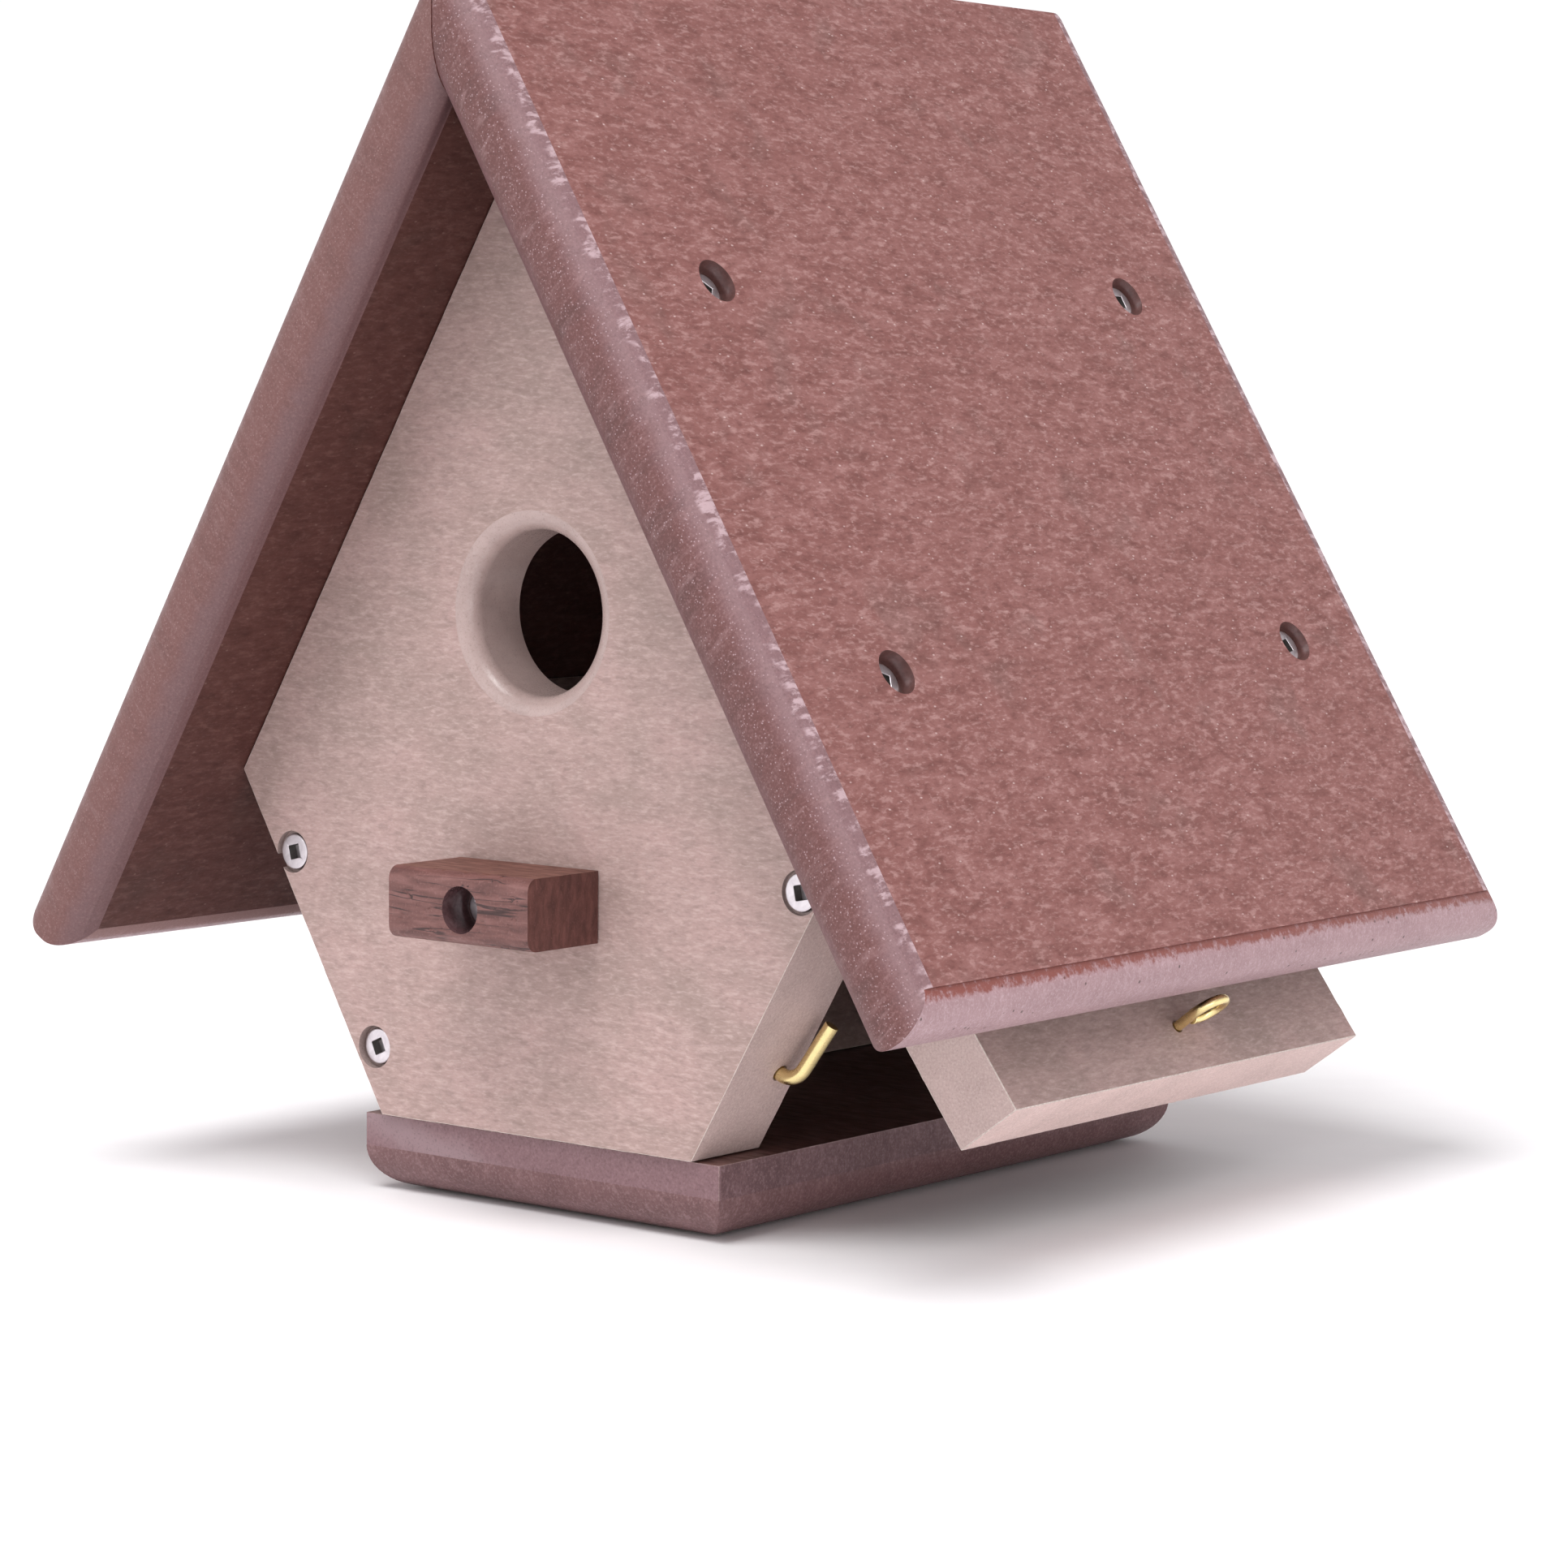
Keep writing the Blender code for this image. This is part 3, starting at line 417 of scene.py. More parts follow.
M = {
    "tan": tan_face("tan_board_face"),
    "tan_side": tan_face("tan_board_side_face", (1, 0.30, 1), 0.94),
    "tan_sawn": tan_cut("tan_board_sawn", (0.6, 1, 0.6)),
    "tan_sawn_end": tan_cut("tan_board_cut_end", (1, 0.4, 0.6)),
    "tan_routed": tan_cut("tan_board_routed", (1, 0.3, 1), streak=0.10, rough=(0.36, 0.24), shade=0.89),
    # paler copy of the sawn surface for the door's lower edge: painted light where the lamps leave it dark
    "tan_sawn_low_painted_light": tan_cut("tan_board_sawn_low_edge_painted_light", (1, 0.5, 1), streak=0.10, rough=(0.5, 0.4), shade=1.5),
    "tan_arris": tan_arris("tan_board_arris"),
    # darker copy of the cut surface for the walls of the screw holes: painted shade in the recesses
    "tan_bore_painted_shade": tan_cut("tan_board_drilled_painted_shade", rough=(0.5, 0.4), shade=0.62),
    "roof": roof_face("roof_board_face", (0.84, 0.81, 0.81)),
    # darker copy of the roof face for the boards' undersides: painted shade
    "roof_under_painted_shade": roof_face("roof_board_underside_painted_shade", (0.32, 0.255, 0.225), 0.85),
    # the two routed ends are one surface coloured apart for light: the right end's colours are the lit copy, its pale
    # rim a painted highlight; the left end's outer, shoulder and rim colours are darker as painted shade
    "roof_end_r_lit_copy": routed_end("roof_board_routed_end_right_lit_copy", SLOPE_R, (0.156, 0.075, 0.080), (0.122, 0.043, 0.040),
                             (0.277, 0.156, 0.158), (0.532, 0.386, 0.414), (0.220, 0.125, 0.137)),
    "roof_end_l_shaded_copy": routed_end("roof_board_routed_end_left_shaded_copy", SLOPE_L, (0.150, 0.077, 0.080), (0.148, 0.061, 0.055),
                             (0.252, 0.142, 0.140), (0.365, 0.228, 0.231), (0.165, 0.084, 0.083), streak=0.28, glitter=0.4),
    "roof_eave": routed_eave("roof_board_routed_eave", SLOPE_R),
    "roof_eave_l": routed_eave("roof_board_routed_eave_left", SLOPE_L),
    # darker copy of the roof face for the quirk's riser: painted shade in the step
    "roof_quirk_painted_shade": roof_face("roof_board_quirk_painted_shade", (0.62, 0.48, 0.44), 0.5),
    "roof_bore": bore_dark("roof_board_counterbore", (0.150, 0.070, 0.064), 0.30),
    # the front face's paler colour and pale diagonal band are painted light and painted sheen
    "floor_edge": brown_edge("floor_board_edge_painted_sheen", ((0.104, 0.046, 0.050), (0.140, 0.068, 0.074)), (0.28, 0.168, 0.184), True),
    "floor_round": brown_edge("floor_board_rounding", ((0.132, 0.060, 0.061), (0.172, 0.083, 0.085)), (0.30, 0.18, 0.19)),
    "brown": brown_face("brown_board_face"),
    "brown_arris": brown_edge("brown_board_arris", ((0.20, 0.12, 0.115), (0.30, 0.20, 0.195)), (0.42, 0.31, 0.30)),
    "perch_grain": brown_face("perch_embossed_grain", (0.92, 0.80, 0.84), (0.15, 1, 1), 0.9),
    "perch_top": brown_face("perch_top_face", (0.90, 0.68, 0.55)),
    "perch_end": brown_face("perch_sawn_end", (0.60, 0.44, 0.42), (1, 1, 0.4)),
    "perch_bore": bore_dark("perch_counterbore", (0.110, 0.056, 0.060), 0.16),
    "brass": brass("drawn_brass"),
    "brass_end": brass("cut_brass", (0.36, 0.25, 0.10), (0.4, 0.5)),
    "steel": steel("screw_steel"),
    # dark copy of the steel for the drive recess walls: painted shade in the recess
    "steel_recess_painted_shade": steel("screw_drive_recess_painted_shade", (0.085, 0.075, 0.070), (0.130, 0.118, 0.110), (0.42, 0.55), 0.55),
}


# ------------------------------------------------------------------ mesh helpers
def new_object(name, bm):
    bmesh.ops.recalc_face_normals(bm, faces=bm.faces)
    mesh = bpy.data.meshes.new(name)
    bm.to_mesh(mesh)
    bm.free()
    obj = bpy.data.objects.new(name, mesh)
    scene.collection.objects.link(obj)
    return obj


def extrude(outline, start, end, to_point):
    bm = bmesh.new()
    ends = [[bm.verts.new(to_point(a, b, t)) for a, b in outline] for t in (start, end)]
    bm.faces.new(ends[0])
    bm.faces.new(list(reversed(ends[1])))
    n = len(outline)
    for i in range(n):
        j = (i + 1) % n
        bm.faces.new((ends[0][j], ends[0][i], ends[1][i], ends[1][j]))
    return bm


def turn(profile, segments):
    bm = bmesh.new()
    rings = []
    for r, h in profile:
        if r == 0:
            rings.append([bm.verts.new((0, 0, h * MM))])
        else:
            rings.append([bm.verts.new((r * MM * math.cos(2 * math.pi * k / segments),
                                        r * MM * math.sin(2 * math.pi * k / segments), h * MM)) for k in range(segments)])
    for low, high in zip(rings, rings[1:]):
        for k in range(segments):
            m = (k + 1) % segments
            if len(low) == 1:
                bm.faces.new((low[0], high[k], high[m]))
            elif len(high) == 1:
                bm.faces.new((low[m], low[k], high[0]))
            else:
                bm.faces.new((low[m], low[k], high[k], high[m]))
    return bm


def arc(cx, cy, r, a0, a1, steps):
    return [(cx + r * math.cos(math.radians(a0 + (a1 - a0) * k / steps)),
             cy + r * math.sin(math.radians(a0 + (a1 - a0) * k / steps))) for k in range(steps + 1)]


def aim(location, direction, twist_deg=0.0):
    q = Vector((0, 0, 1)).rotation_difference(Vector(direction).normalized())
    q = q @ Matrix.Rotation(math.radians(twist_deg), 3, "Z").to_quaternion()
    return Matrix.Translation(location) @ q.to_matrix().to_4x4()


def boolean(obj, tools):
    """Applies (operation, tool) pairs to obj's mesh and removes the tools."""
    for operation, tool in tools:
        mod = obj.modifiers.new(operation, "BOOLEAN")
        mod.operation, mod.solver, mod.object = operation, "EXACT", tool
    bpy.context.view_layer.update()
    graph = bpy.context.evaluated_depsgraph_get()
    mesh = bpy.data.meshes.new_from_object(obj.evaluated_get(graph))
    obj.modifiers.clear()
    old = obj.data
    obj.data = mesh
    bpy.data.meshes.remove(old)
    for _, tool in tools:
        bpy.data.objects.remove(tool, do_unlink=True)
    return obj


def wobble(p, size, seed):
    q = Vector(p) / (size * MM) + Vector((seed * 7.13, seed * 3.7, seed * 1.9))
    return noise.noise(q)


def ease_arrises(obj, width, step, rough, is_arris, segments=2):
    """Breaks the chosen sharp edges into short lengths, wears them unevenly, and rounds them slightly.
    Returns nothing; the new narrow faces are flagged in the face attribute 'arris_face', by which dress() later gives
    them the arris material."""
    bm = bmesh.new()
    bm.from_mesh(obj.data)
    bmesh.ops.remove_doubles(bm, verts=bm.verts, dist=0.000002)
    bmesh.ops.dissolve_limit(bm, angle_limit=math.radians(0.3), verts=bm.verts, edges=bm.edges)
    mark = bm.edges.layers.int.new("arris")
    layer = bm.faces.layers.int.new("arris_face")
    chosen = [e for e in bm.edges if len(e.link_faces) == 2 and is_arris(e)]
    for e in chosen:
        e[mark] = 1
    for e in list(chosen):
        cuts = int(e.calc_length() / (step * MM)) - 1
        if cuts > 0:
            bmesh.ops.subdivide_edges(bm, edges=[e], cuts=min(cuts, 160))
    chosen = [e for e in bm.edges if e[mark] == 1]
    verts = {v for e in chosen for v in e.verts if sum(1 for x in v.link_edges if x[mark] == 1) == 2}
    moves = {}
    for v in verts:
        faces = {f for e in v.link_edges if e[mark] == 1 for f in e.link_faces}
        out = Vector((0, 0, 0))
        for f in faces:
            out += f.normal
        out.normalize()
        a = wobble(v.co, 1.7, 1) * 0.6 + wobble(v.co, 6.0, 2) * 0.6
        spike = max(0.0, wobble(v.co, 0.9, 3) - 0.42) * 2.2
        moves[v] = out * (a * rough * 0.5 + spike * rough) * MM
    for v, d in moves.items():
        v.co += d
    result = bmesh.ops.bevel(bm, geom=[e for e in bm.edges if e[mark] == 1], offset=width * MM, offset_type="OFFSET",
                             segments=segments, profile=0.5, affect="EDGES", clamp_overlap=True)
    for f in result["faces"]:
        f[layer] = 1
    bm.to_mesh(obj.data)
    bm.free()
    obj.data.update()


def arris_flags(mesh):
    attr = mesh.attributes.get("arris_face")
    flags = np.zeros(len(mesh.polygons), np.int32)
    if attr:
        attr.data.foreach_get("value", flags)
    return flags


def dress(obj, pick, materials, smooth_angle=28):
    """Gives each face a material: pick(face centre in bench mm, normal, is_arris) returns an index."""
    mesh = obj.data
    mesh.materials.clear()
    for m in materials:
        mesh.materials.append(m)
    flags = arris_flags(mesh)
    for poly in mesh.polygons:
        c = poly.center
        poly.material_index = pick((c.x / MM, c.y / MM + Y_MID, c.z / MM - FLOOR_T), poly.normal, flags[poly.index] == 1)
    mesh.shade_smooth()
    mesh.set_sharp_from_angle(angle=math.radians(smooth_angle))
    mod = obj.modifiers.new("weighted", "WEIGHTED_NORMAL")
    mod.keep_sharp = True
    mod.weight = 100
    return obj


def stand_in(obj, body, *nodes, slot=None):
    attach(obj, body)
    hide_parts(*nodes)


# ------------------------------------------------------------------ screw holes and screws
def hole_tool(length, location, direction, counterbore=COUNTERBORE_R, segments=48):
    seat = 0.75
    slope = (HEAD_R - SCREW_R) / (HEAD_H - HEAD_RIM)
    seat_r = HEAD_R - (seat - HEAD_RIM) * slope + 0.40
    profile = [(0, 30.0), (counterbore, 30.0), (counterbore, -seat), (seat_r, -seat),
               (SCREW_R + 0.40, -HEAD_H - 0.05), (SCREW_R + 0.34, -HEAD_H - 0.35),
               (SCREW_R + 0.34, -(length - TIP_L)), (0.45, -(length + 0.30)), (0, -(length + 0.30))]
    tool = new_object("tool", turn(profile, segments))
    tool.matrix_world = aim(location, direction, 3.75)
    return tool


def screw_mesh(name, length):
    """Flat head with a square drive and turned rings, and a shank with a real helical thread."""
    seg = 48
    head = [(0, -0.03), (HEAD_R * 0.55, -0.015), (HEAD_R - 0.30, 0.0), (HEAD_R - 0.10, -0.03), (HEAD_R, -0.12),
            (HEAD_R, -HEAD_RIM), (HEAD_R - 0.06, -HEAD_RIM - 0.10)]
    bm = bmesh.new()
    rings = []

    def ring(fn, h):
        return [bm.verts.new((fn(k) * MM * math.cos(2 * math.pi * k / seg), fn(k) * MM * math.sin(2 * math.pi * k / seg), h * MM))
                for k in range(seg)]
    top = bm.verts.new((0, 0, head[0][1] * MM))
    for r, h in head[1:]:
        rings.append(ring(lambda k, r=r: r, h))
    z0, z1 = HEAD_RIM + 0.10, HEAD_H
    for f in (0.35, 0.7, 1.0):
        r = (HEAD_R - 0.06) + (SCREW_R * 0.80 - HEAD_R + 0.06) * f
        rings.append(ring(lambda k, r=r: r, -(z0 + (z1 - z0) * f)))
    pitch, root = 1.41, SCREW_R * 0.68
    h = HEAD_H + 0.4
    while h < length - 0.35:
        def radius(k, h=h):
            turn_at = (h / pitch - k / seg) % 1.0
            crest = max(0.0, 1.0 - abs(turn_at - 0.5) / 0.28)
            fade = min(1.0, (h - HEAD_H) / 2.5)
            left = length - h
            taper = min(1.0, left / TIP_L)
            core = root * taper + 0.08 * (1 - taper)
            return max(0.10, core + (SCREW_R - root) * crest * fade * min(1.0, taper * 1.15))
        rings.append(ring(radius, -h))
        h += pitch / 9
    tip = bm.verts.new((0, 0, -(length - 0.05) * MM))
    for k in range(seg):
        m = (k + 1) % seg
        bm.faces.new((top, rings[0][k], rings[0][m]))
        bm.faces.new((rings[-1][m], rings[-1][k], tip))
    for low, high in zip(rings, rings[1:]):
        for k in range(seg):
            m = (k + 1) % seg
            bm.faces.new((low[m], low[k], high[k], high[m]))
    obj = new_object(name, bm)
    half = RECESS_W / 2
    corner = 0.18
    outline = []
    for sx, sy, a in ((1, 1, 0), (-1, 1, 90), (-1, -1, 180), (1, -1, 270)):
        outline += arc(sx * (half - corner), sy * (half - corner), corner, a, a + 90, 3)
    bm = bmesh.new()
    levels = [(1.0, 1.12), (0.08, 1.12), (-0.08, 1.0), (-RECESS_D, 0.93)]
    loops = [[bm.verts.new((x * s * MM, y * s * MM, z * MM)) for x, y in outline] for z, s in levels]
    bm.faces.new(loops[0])
    for a, b in zip(loops, loops[1:]):
        for i in range(len(outline)):
            j = (i + 1) % len(outline)
            bm.faces.new((a[j], a[i], b[i], b[j]))
    bm.faces.new(list(reversed(loops[-1])))
    boolean(obj, [("DIFFERENCE", new_object("drive", bm))])
    mesh = obj.data
    bpy.data.objects.remove(obj)
    mesh.name = name
    mesh.materials.clear()
    mesh.materials.append(M["steel"])
    mesh.materials.append(M["steel_recess_painted_shade"])
    for poly in mesh.polygons:
        c = poly.center / MM
        inside = max(abs(c.x), abs(c.y)) < half * 1.02 and -RECESS_D * 0.99 < c.z < -0.10
        # index 1: the recess walls, dark as painted shade
        poly.material_index = 1 if inside and abs(poly.normal.z) < 0.5 else 0
    mesh.shade_smooth()
    mesh.set_sharp_from_angle(angle=math.radians(38))
    return mesh


LONG, SHORT = screw_mesh("long_screw", SCREW_LONG), screw_mesh("short_screw", SCREW_SHORT)


def slope_point(side, s, n):
    x = s * math.cos(SLOPE) + n * math.sin(SLOPE)
    z = PANEL_APEX_Z - s * math.sin(SLOPE) + n * math.cos(SLOPE)
    return side * x, z


ROOF_N0, ROOF_N1 = inset, inset + BOARD_T
EAVE_S = SLOPE_LEN + EAVE_PAST_CORNER
FRONT_OUT, BACK_OUT = Vector((0, -1, 0)), Vector((0, 1, 0))
screws = {
    "perch_screw": (SHORT, SCREW_SHORT, (PERCH_SCREW[0], -PERCH_OUT + PERCH_HEAD_DEPTH, PERCH_SCREW[1]), FRONT_OUT, 20, 4.25),
    "front_side_screw_upper": (LONG, SCREW_LONG, (LEFT_UPPER[0], UPPER_SUNK, LEFT_UPPER[1]), FRONT_OUT, 14, 4.0),
    "front_side_screw_lower": (LONG, SCREW_LONG, (LEFT_LOWER[0], LOWER_SUNK, LEFT_LOWER[1]), FRONT_OUT, 24, 4.0),
    "back_side_screw_upper": (LONG, SCREW_LONG, (LEFT_UPPER[0], HOUSE_D - HEAD_SUNK, LEFT_UPPER[1]), BACK_OUT, 31, 4.0),
    "back_side_screw_lower": (LONG, SCREW_LONG, (LEFT_LOWER[0], HOUSE_D - HEAD_SUNK, LEFT_LOWER[1]), BACK_OUT, 8, 4.0),
    "door_pivot_screw_front": (LONG, SCREW_LONG, (PIVOT[0], PIVOT_SUNK, PIVOT[1]), FRONT_OUT, 12, 4.0),
    "door_pivot_screw_back": (LONG, SCREW_LONG, (PIVOT[0], HOUSE_D - HEAD_SUNK, PIVOT[1]), BACK_OUT, 40, 4.0),
}
twist = 9
for side, word in ((-1, "left"), (1, "right")):
    for s, level in ((ROOF_SCREW_LOW, "lower"), (ROOF_SCREW_HIGH, "upper")):
        for y, depth, end in ((ROOF_SCREW_FRONT_Y, ROOF_FRONT_DEPTH, "front"), (ROOF_SCREW_BACK_Y, ROOF_BACK_DEPTH, "back")):
            x, z = slope_point(side, s, ROOF_N1 - depth)
            screws[f"{word}_roof_screw_{level}_{end}"] = (
                LONG, SCREW_LONG, (x, y, z), Vector((side * math.sin(SLOPE), 0, math.cos(SLOPE))), twist, 4.25)
            twist = (twist + 37) % 90
for x, word in ((-FLOOR_SCREW_X, "left"), (FLOOR_SCREW_X, "right")):
    for y, end in ((FLOOR_SCREW_FRONT_Y, "front"), (FLOOR_SCREW_BACK_Y, "back")):
        screws[f"floor_screw_{word}_{end}"] = (LONG, SCREW_LONG, (x, y, -FLOOR_T + HEAD_SUNK), Vector((0, 0, -1)), twist, 4.0)
        twist = (twist + 37) % 90

for node, (mesh, length, at, direction, turned, _) in screws.items():
    obj = bpy.data.objects.new(node + "_fine", mesh)
    scene.collection.objects.link(obj)
    obj.matrix_world = aim(place(*at), direction, turned)
    stand_in(obj, "door" if node.startswith("door_") else "house", node, slot="screw_steel")


def holes(*names):
    return [("DIFFERENCE", hole_tool(screws[n][1], place(*screws[n][2]), screws[n][3], screws[n][5])) for n in names]


def sharp(e, degrees=30):
    return e.calc_face_angle(0.0) > math.radians(degrees)


# ------------------------------------------------------------------ front and back panels
def hexagon():
    def roof_x(z):
        return (PANEL_APEX_Z - z) / math.tan(SLOPE) - inset / math.sin(SLOPE)
    apex = PANEL_APEX_Z - inset / math.cos(SLOPE)
    run = (half_w - half_b) / PANEL_WIDEST_Z
    bottom = half_b + run * inset
    z = PANEL_WIDEST_Z
    for _ in range(30):
        z += (roof_x(z) - (half_b + run * z)) * 0.5
    wide = half_b + run * z
    return [(-bottom, inset), (bottom, inset), (wide, z), (0.0, apex), (-wide, z)]


def near_screw(x, z, points, r=6.0):
    return any(math.hypot(x - px, z - pz) < r for px, pz in points)


FRONT_POINTS = [LEFT_UPPER, LEFT_LOWER, PIVOT]


def outline_edge(y0, y1):
    """True for the panel's outer arrises, not for the rims of its holes."""
    def test(e):
        if not sharp(e) or e.calc_length() < 2 * MM:
            return False
        c = (e.verts[0].co + e.verts[1].co) / 2
        x, z = c.x / MM, c.z / MM - FLOOR_T
        return not near_screw(x, z, FRONT_POINTS, 4.5) and math.hypot(x - HOLE_X, z - HOLE_Z) > 21.5
    return test


def panel_pick(y0, y1):
    def pick(c, n, arris):
        x, y, z = c
        if arris:
            return 2
        if y0 < 10 and math.hypot(x - HOLE_X, z - HOLE_Z) < HOLE_RELIEF_R + 0.3 and (y > 0.02 or abs(n.y) < 0.995):
            return 5 if y > HOLE_EDGE_Y + 0.01 else 4
        # 3: the walls of the screw holes, darker as painted shade
        if near_screw(x, z, FRONT_POINTS, 4.4) and abs(n.y) < 0.98:
            return 3
        if near_screw(x, z, FRONT_POINTS, 4.3) and y0 + 0.3 < y < y1 - 0.3:
            return 3
        if abs(n.y) > 0.9:
            return 0
        return 1
    return pick


front = new_object("front_panel_fine", extrude(hexagon(), 0.0, FRONT_T, lambda a, b, t: place(a, t, b)))
profile = [(0, 5.0), (HOLE_R + HOLE_ROUND_R + 0.02, 5.0)]
profile += [(HOLE_R + HOLE_ROUND_R * (1 - math.sin(math.radians(a))), -HOLE_ROUND_R * (1 - math.cos(math.radians(a))))
            for a in range(0, 91, 9)]
profile += [(HOLE_R, -HOLE_EDGE_Y), (HOLE_RELIEF_R, -HOLE_EDGE_Y), (HOLE_RELIEF_R, -FRONT_T - 5.0), (0, -FRONT_T - 5.0)]
entrance = new_object("tool", turn(profile, 128))
entrance.matrix_world = aim(place(HOLE_X, 0, HOLE_Z), FRONT_OUT)
latch_base = Vector((half_b, LATCH_Y, 0)) + EDGE_UP * LATCH_ALONG
latch_hole = new_object("tool", turn([(0, 6), (LATCH_WIRE_R + 0.3, 6), (LATCH_WIRE_R + 0.3, -LATCH_IN - 0.4), (0, -LATCH_IN - 0.4)], 32))
latch_hole.matrix_world = aim(place(*latch_base), EDGE_OUT)
boolean(front, [("DIFFERENCE", entrance), ("DIFFERENCE", latch_hole)] + holes(
    "perch_screw", "front_side_screw_upper", "front_side_screw_lower", "door_pivot_screw_front",
    "left_roof_screw_lower_front", "left_roof_screw_upper_front", "right_roof_screw_lower_front",
    "right_roof_screw_upper_front", "floor_screw_left_front", "floor_screw_right_front"))
ease_arrises(front, 0.30, 1.3, 0.12, outline_edge(0, FRONT_T))
dress(front, panel_pick(0, FRONT_T), [M["tan"], M["tan_sawn"], M["tan_arris"], M["tan_bore_painted_shade"], M["tan_routed"], M["tan_sawn_end"]])
stand_in(front, "house", "front_panel", slot="tan_board")

back = new_object("back_panel_fine", extrude(hexagon(), HOUSE_D - BOARD_T, HOUSE_D, lambda a, b, t: place(a, t, b)))
boolean(back, holes("back_side_screw_upper", "back_side_screw_lower", "door_pivot_screw_back",
                    "left_roof_screw_lower_back", "left_roof_screw_upper_back", "right_roof_screw_lower_back",
                    "right_roof_screw_upper_back", "floor_screw_left_back", "floor_screw_right_back"))
ease_arrises(back, 0.16, 1.3, 0.10, outline_edge(HOUSE_D - BOARD_T, HOUSE_D))
dress(back, panel_pick(HOUSE_D - BOARD_T, HOUSE_D), [M["tan"], M["tan_sawn"], M["tan_arris"], M["tan_bore_painted_shade"], M["tan_sawn_end"]])
stand_in(back, "house", "back_panel", slot="tan_board")


# ------------------------------------------------------------------ left side panel
def left_side_outline():
    up = Vector((-EDGE_UP.x, EDGE_UP.z))
    inward = Vector((EDGE_UP.z, EDGE_UP.x))
    corner = Vector((-half_b, 0.0))

    def at_height(offset, z):
        base = corner + inward * offset
        return base + up * ((z - base.y) / up.y)

    def at_roof(offset):
        base = corner + inward * offset
        normal = Vector((-math.sin(SLOPE), math.cos(SLOPE)))
        limit = normal.y * PANEL_APEX_Z - inset
        return base + up * ((limit - normal.dot(base)) / normal.dot(up))

    return [tuple(v) for v in (at_height(0, inset), at_height(BOARD_T, inset), at_roof(BOARD_T), at_roof(0))]


side_board = new_object("left_side_panel_fine", extrude(
    left_side_outline(), FRONT_T + GAP, HOUSE_D - BOARD_T - GAP, lambda a, b, t: place(a, t, b)))
boolean(side_board, holes("front_side_screw_upper", "front_side_screw_lower", "back_side_screw_upper", "back_side_screw_lower"))
ease_arrises(side_board, 0.16, 1.5, 0.10, lambda e: sharp(e) and e.calc_length() > 8 * MM)
dress(side_board, lambda c, n, arris: 2 if arris else (1 if abs(n.y) > 0.9 else 0 if abs(n.dot(Vector((-EDGE_UP.z, 0, -EDGE_UP.x)))) > 0.9 else 1),
      [M["tan_side"], M["tan_sawn_end"], M["tan_arris"]])
stand_in(side_board, "house", "left_side_panel", slot="tan_board")


# ------------------------------------------------------------------ floor
def rounded_below(half_low, half_high, top, bottom, r, steps=12):
    return ([(half_low, top), (half_high, top)] + [(half_high, bottom + r)]
            + arc(half_high - r, bottom + r, r, 0, -90, steps)[1:]
            + arc(half_low + r, bottom + r, r, -90, -180, steps))


floor_fine = new_object("floor_board_fine", extrude(
    rounded_below(-FLOOR_HALF_W, FLOOR_HALF_W, -inset, -FLOOR_T, FLOOR_ROUND_R),
    FLOOR_FRONT_Y, FLOOR_BACK_Y, lambda a, b, t: place(a, t, b)))
ends = new_object("tool", extrude(rounded_below(FLOOR_FRONT_Y, FLOOR_BACK_Y, 5.0, -FLOOR_T, FLOOR_ROUND_R),
                                  -FLOOR_HALF_W - 5, FLOOR_HALF_W + 5, lambda a, b, t: place(t, a, b)))
boolean(floor_fine, [("INTERSECT", ends)] + holes("floor_screw_left_front", "floor_screw_left_back",
                                                  "floor_screw_right_front", "floor_screw_right_back"))


def floor_arris(e):
    if not sharp(e, 40):
        return False
    zs = [v.co.z / MM for v in e.verts]
    xs = [abs(v.co.x) / MM for v in e.verts]
    return min(zs) > FLOOR_T - 1.0 or (abs(zs[0] - zs[1]) > 3 and min(xs) > FLOOR_HALF_W - 0.5)


ease_arrises(floor_fine, 0.14, 1.2, 0.16, floor_arris)


def floor_pick(c, n, arris):
    x, y, z = c
    if arris:
        return 3
    if n.z > 0.9:
        return 0
    if n.z < -0.97:
        return 4 if min(abs(abs(x) - FLOOR_SCREW_X), 99) < 5 and z > -FLOOR_T + 0.2 else 0
    if -0.05 < n.z < 0.3 and (abs(x) > FLOOR_HALF_W - 0.5 or y < FLOOR_FRONT_Y + 0.5 or y > FLOOR_BACK_Y - 0.5):
        return 1
    if abs(abs(x) - FLOOR_SCREW_X) < 4.5 and (abs(y - FLOOR_SCREW_FRONT_Y) < 4.5 or abs(y - FLOOR_SCREW_BACK_Y) < 4.5):
        return 4
    return 2


dress(floor_fine, floor_pick, [M["brown"], M["floor_edge"], M["floor_round"], M["brown_arris"], M["roof_bore"]], 32)
stand_in(floor_fine, "house", "floor_board", slot="brown_board")


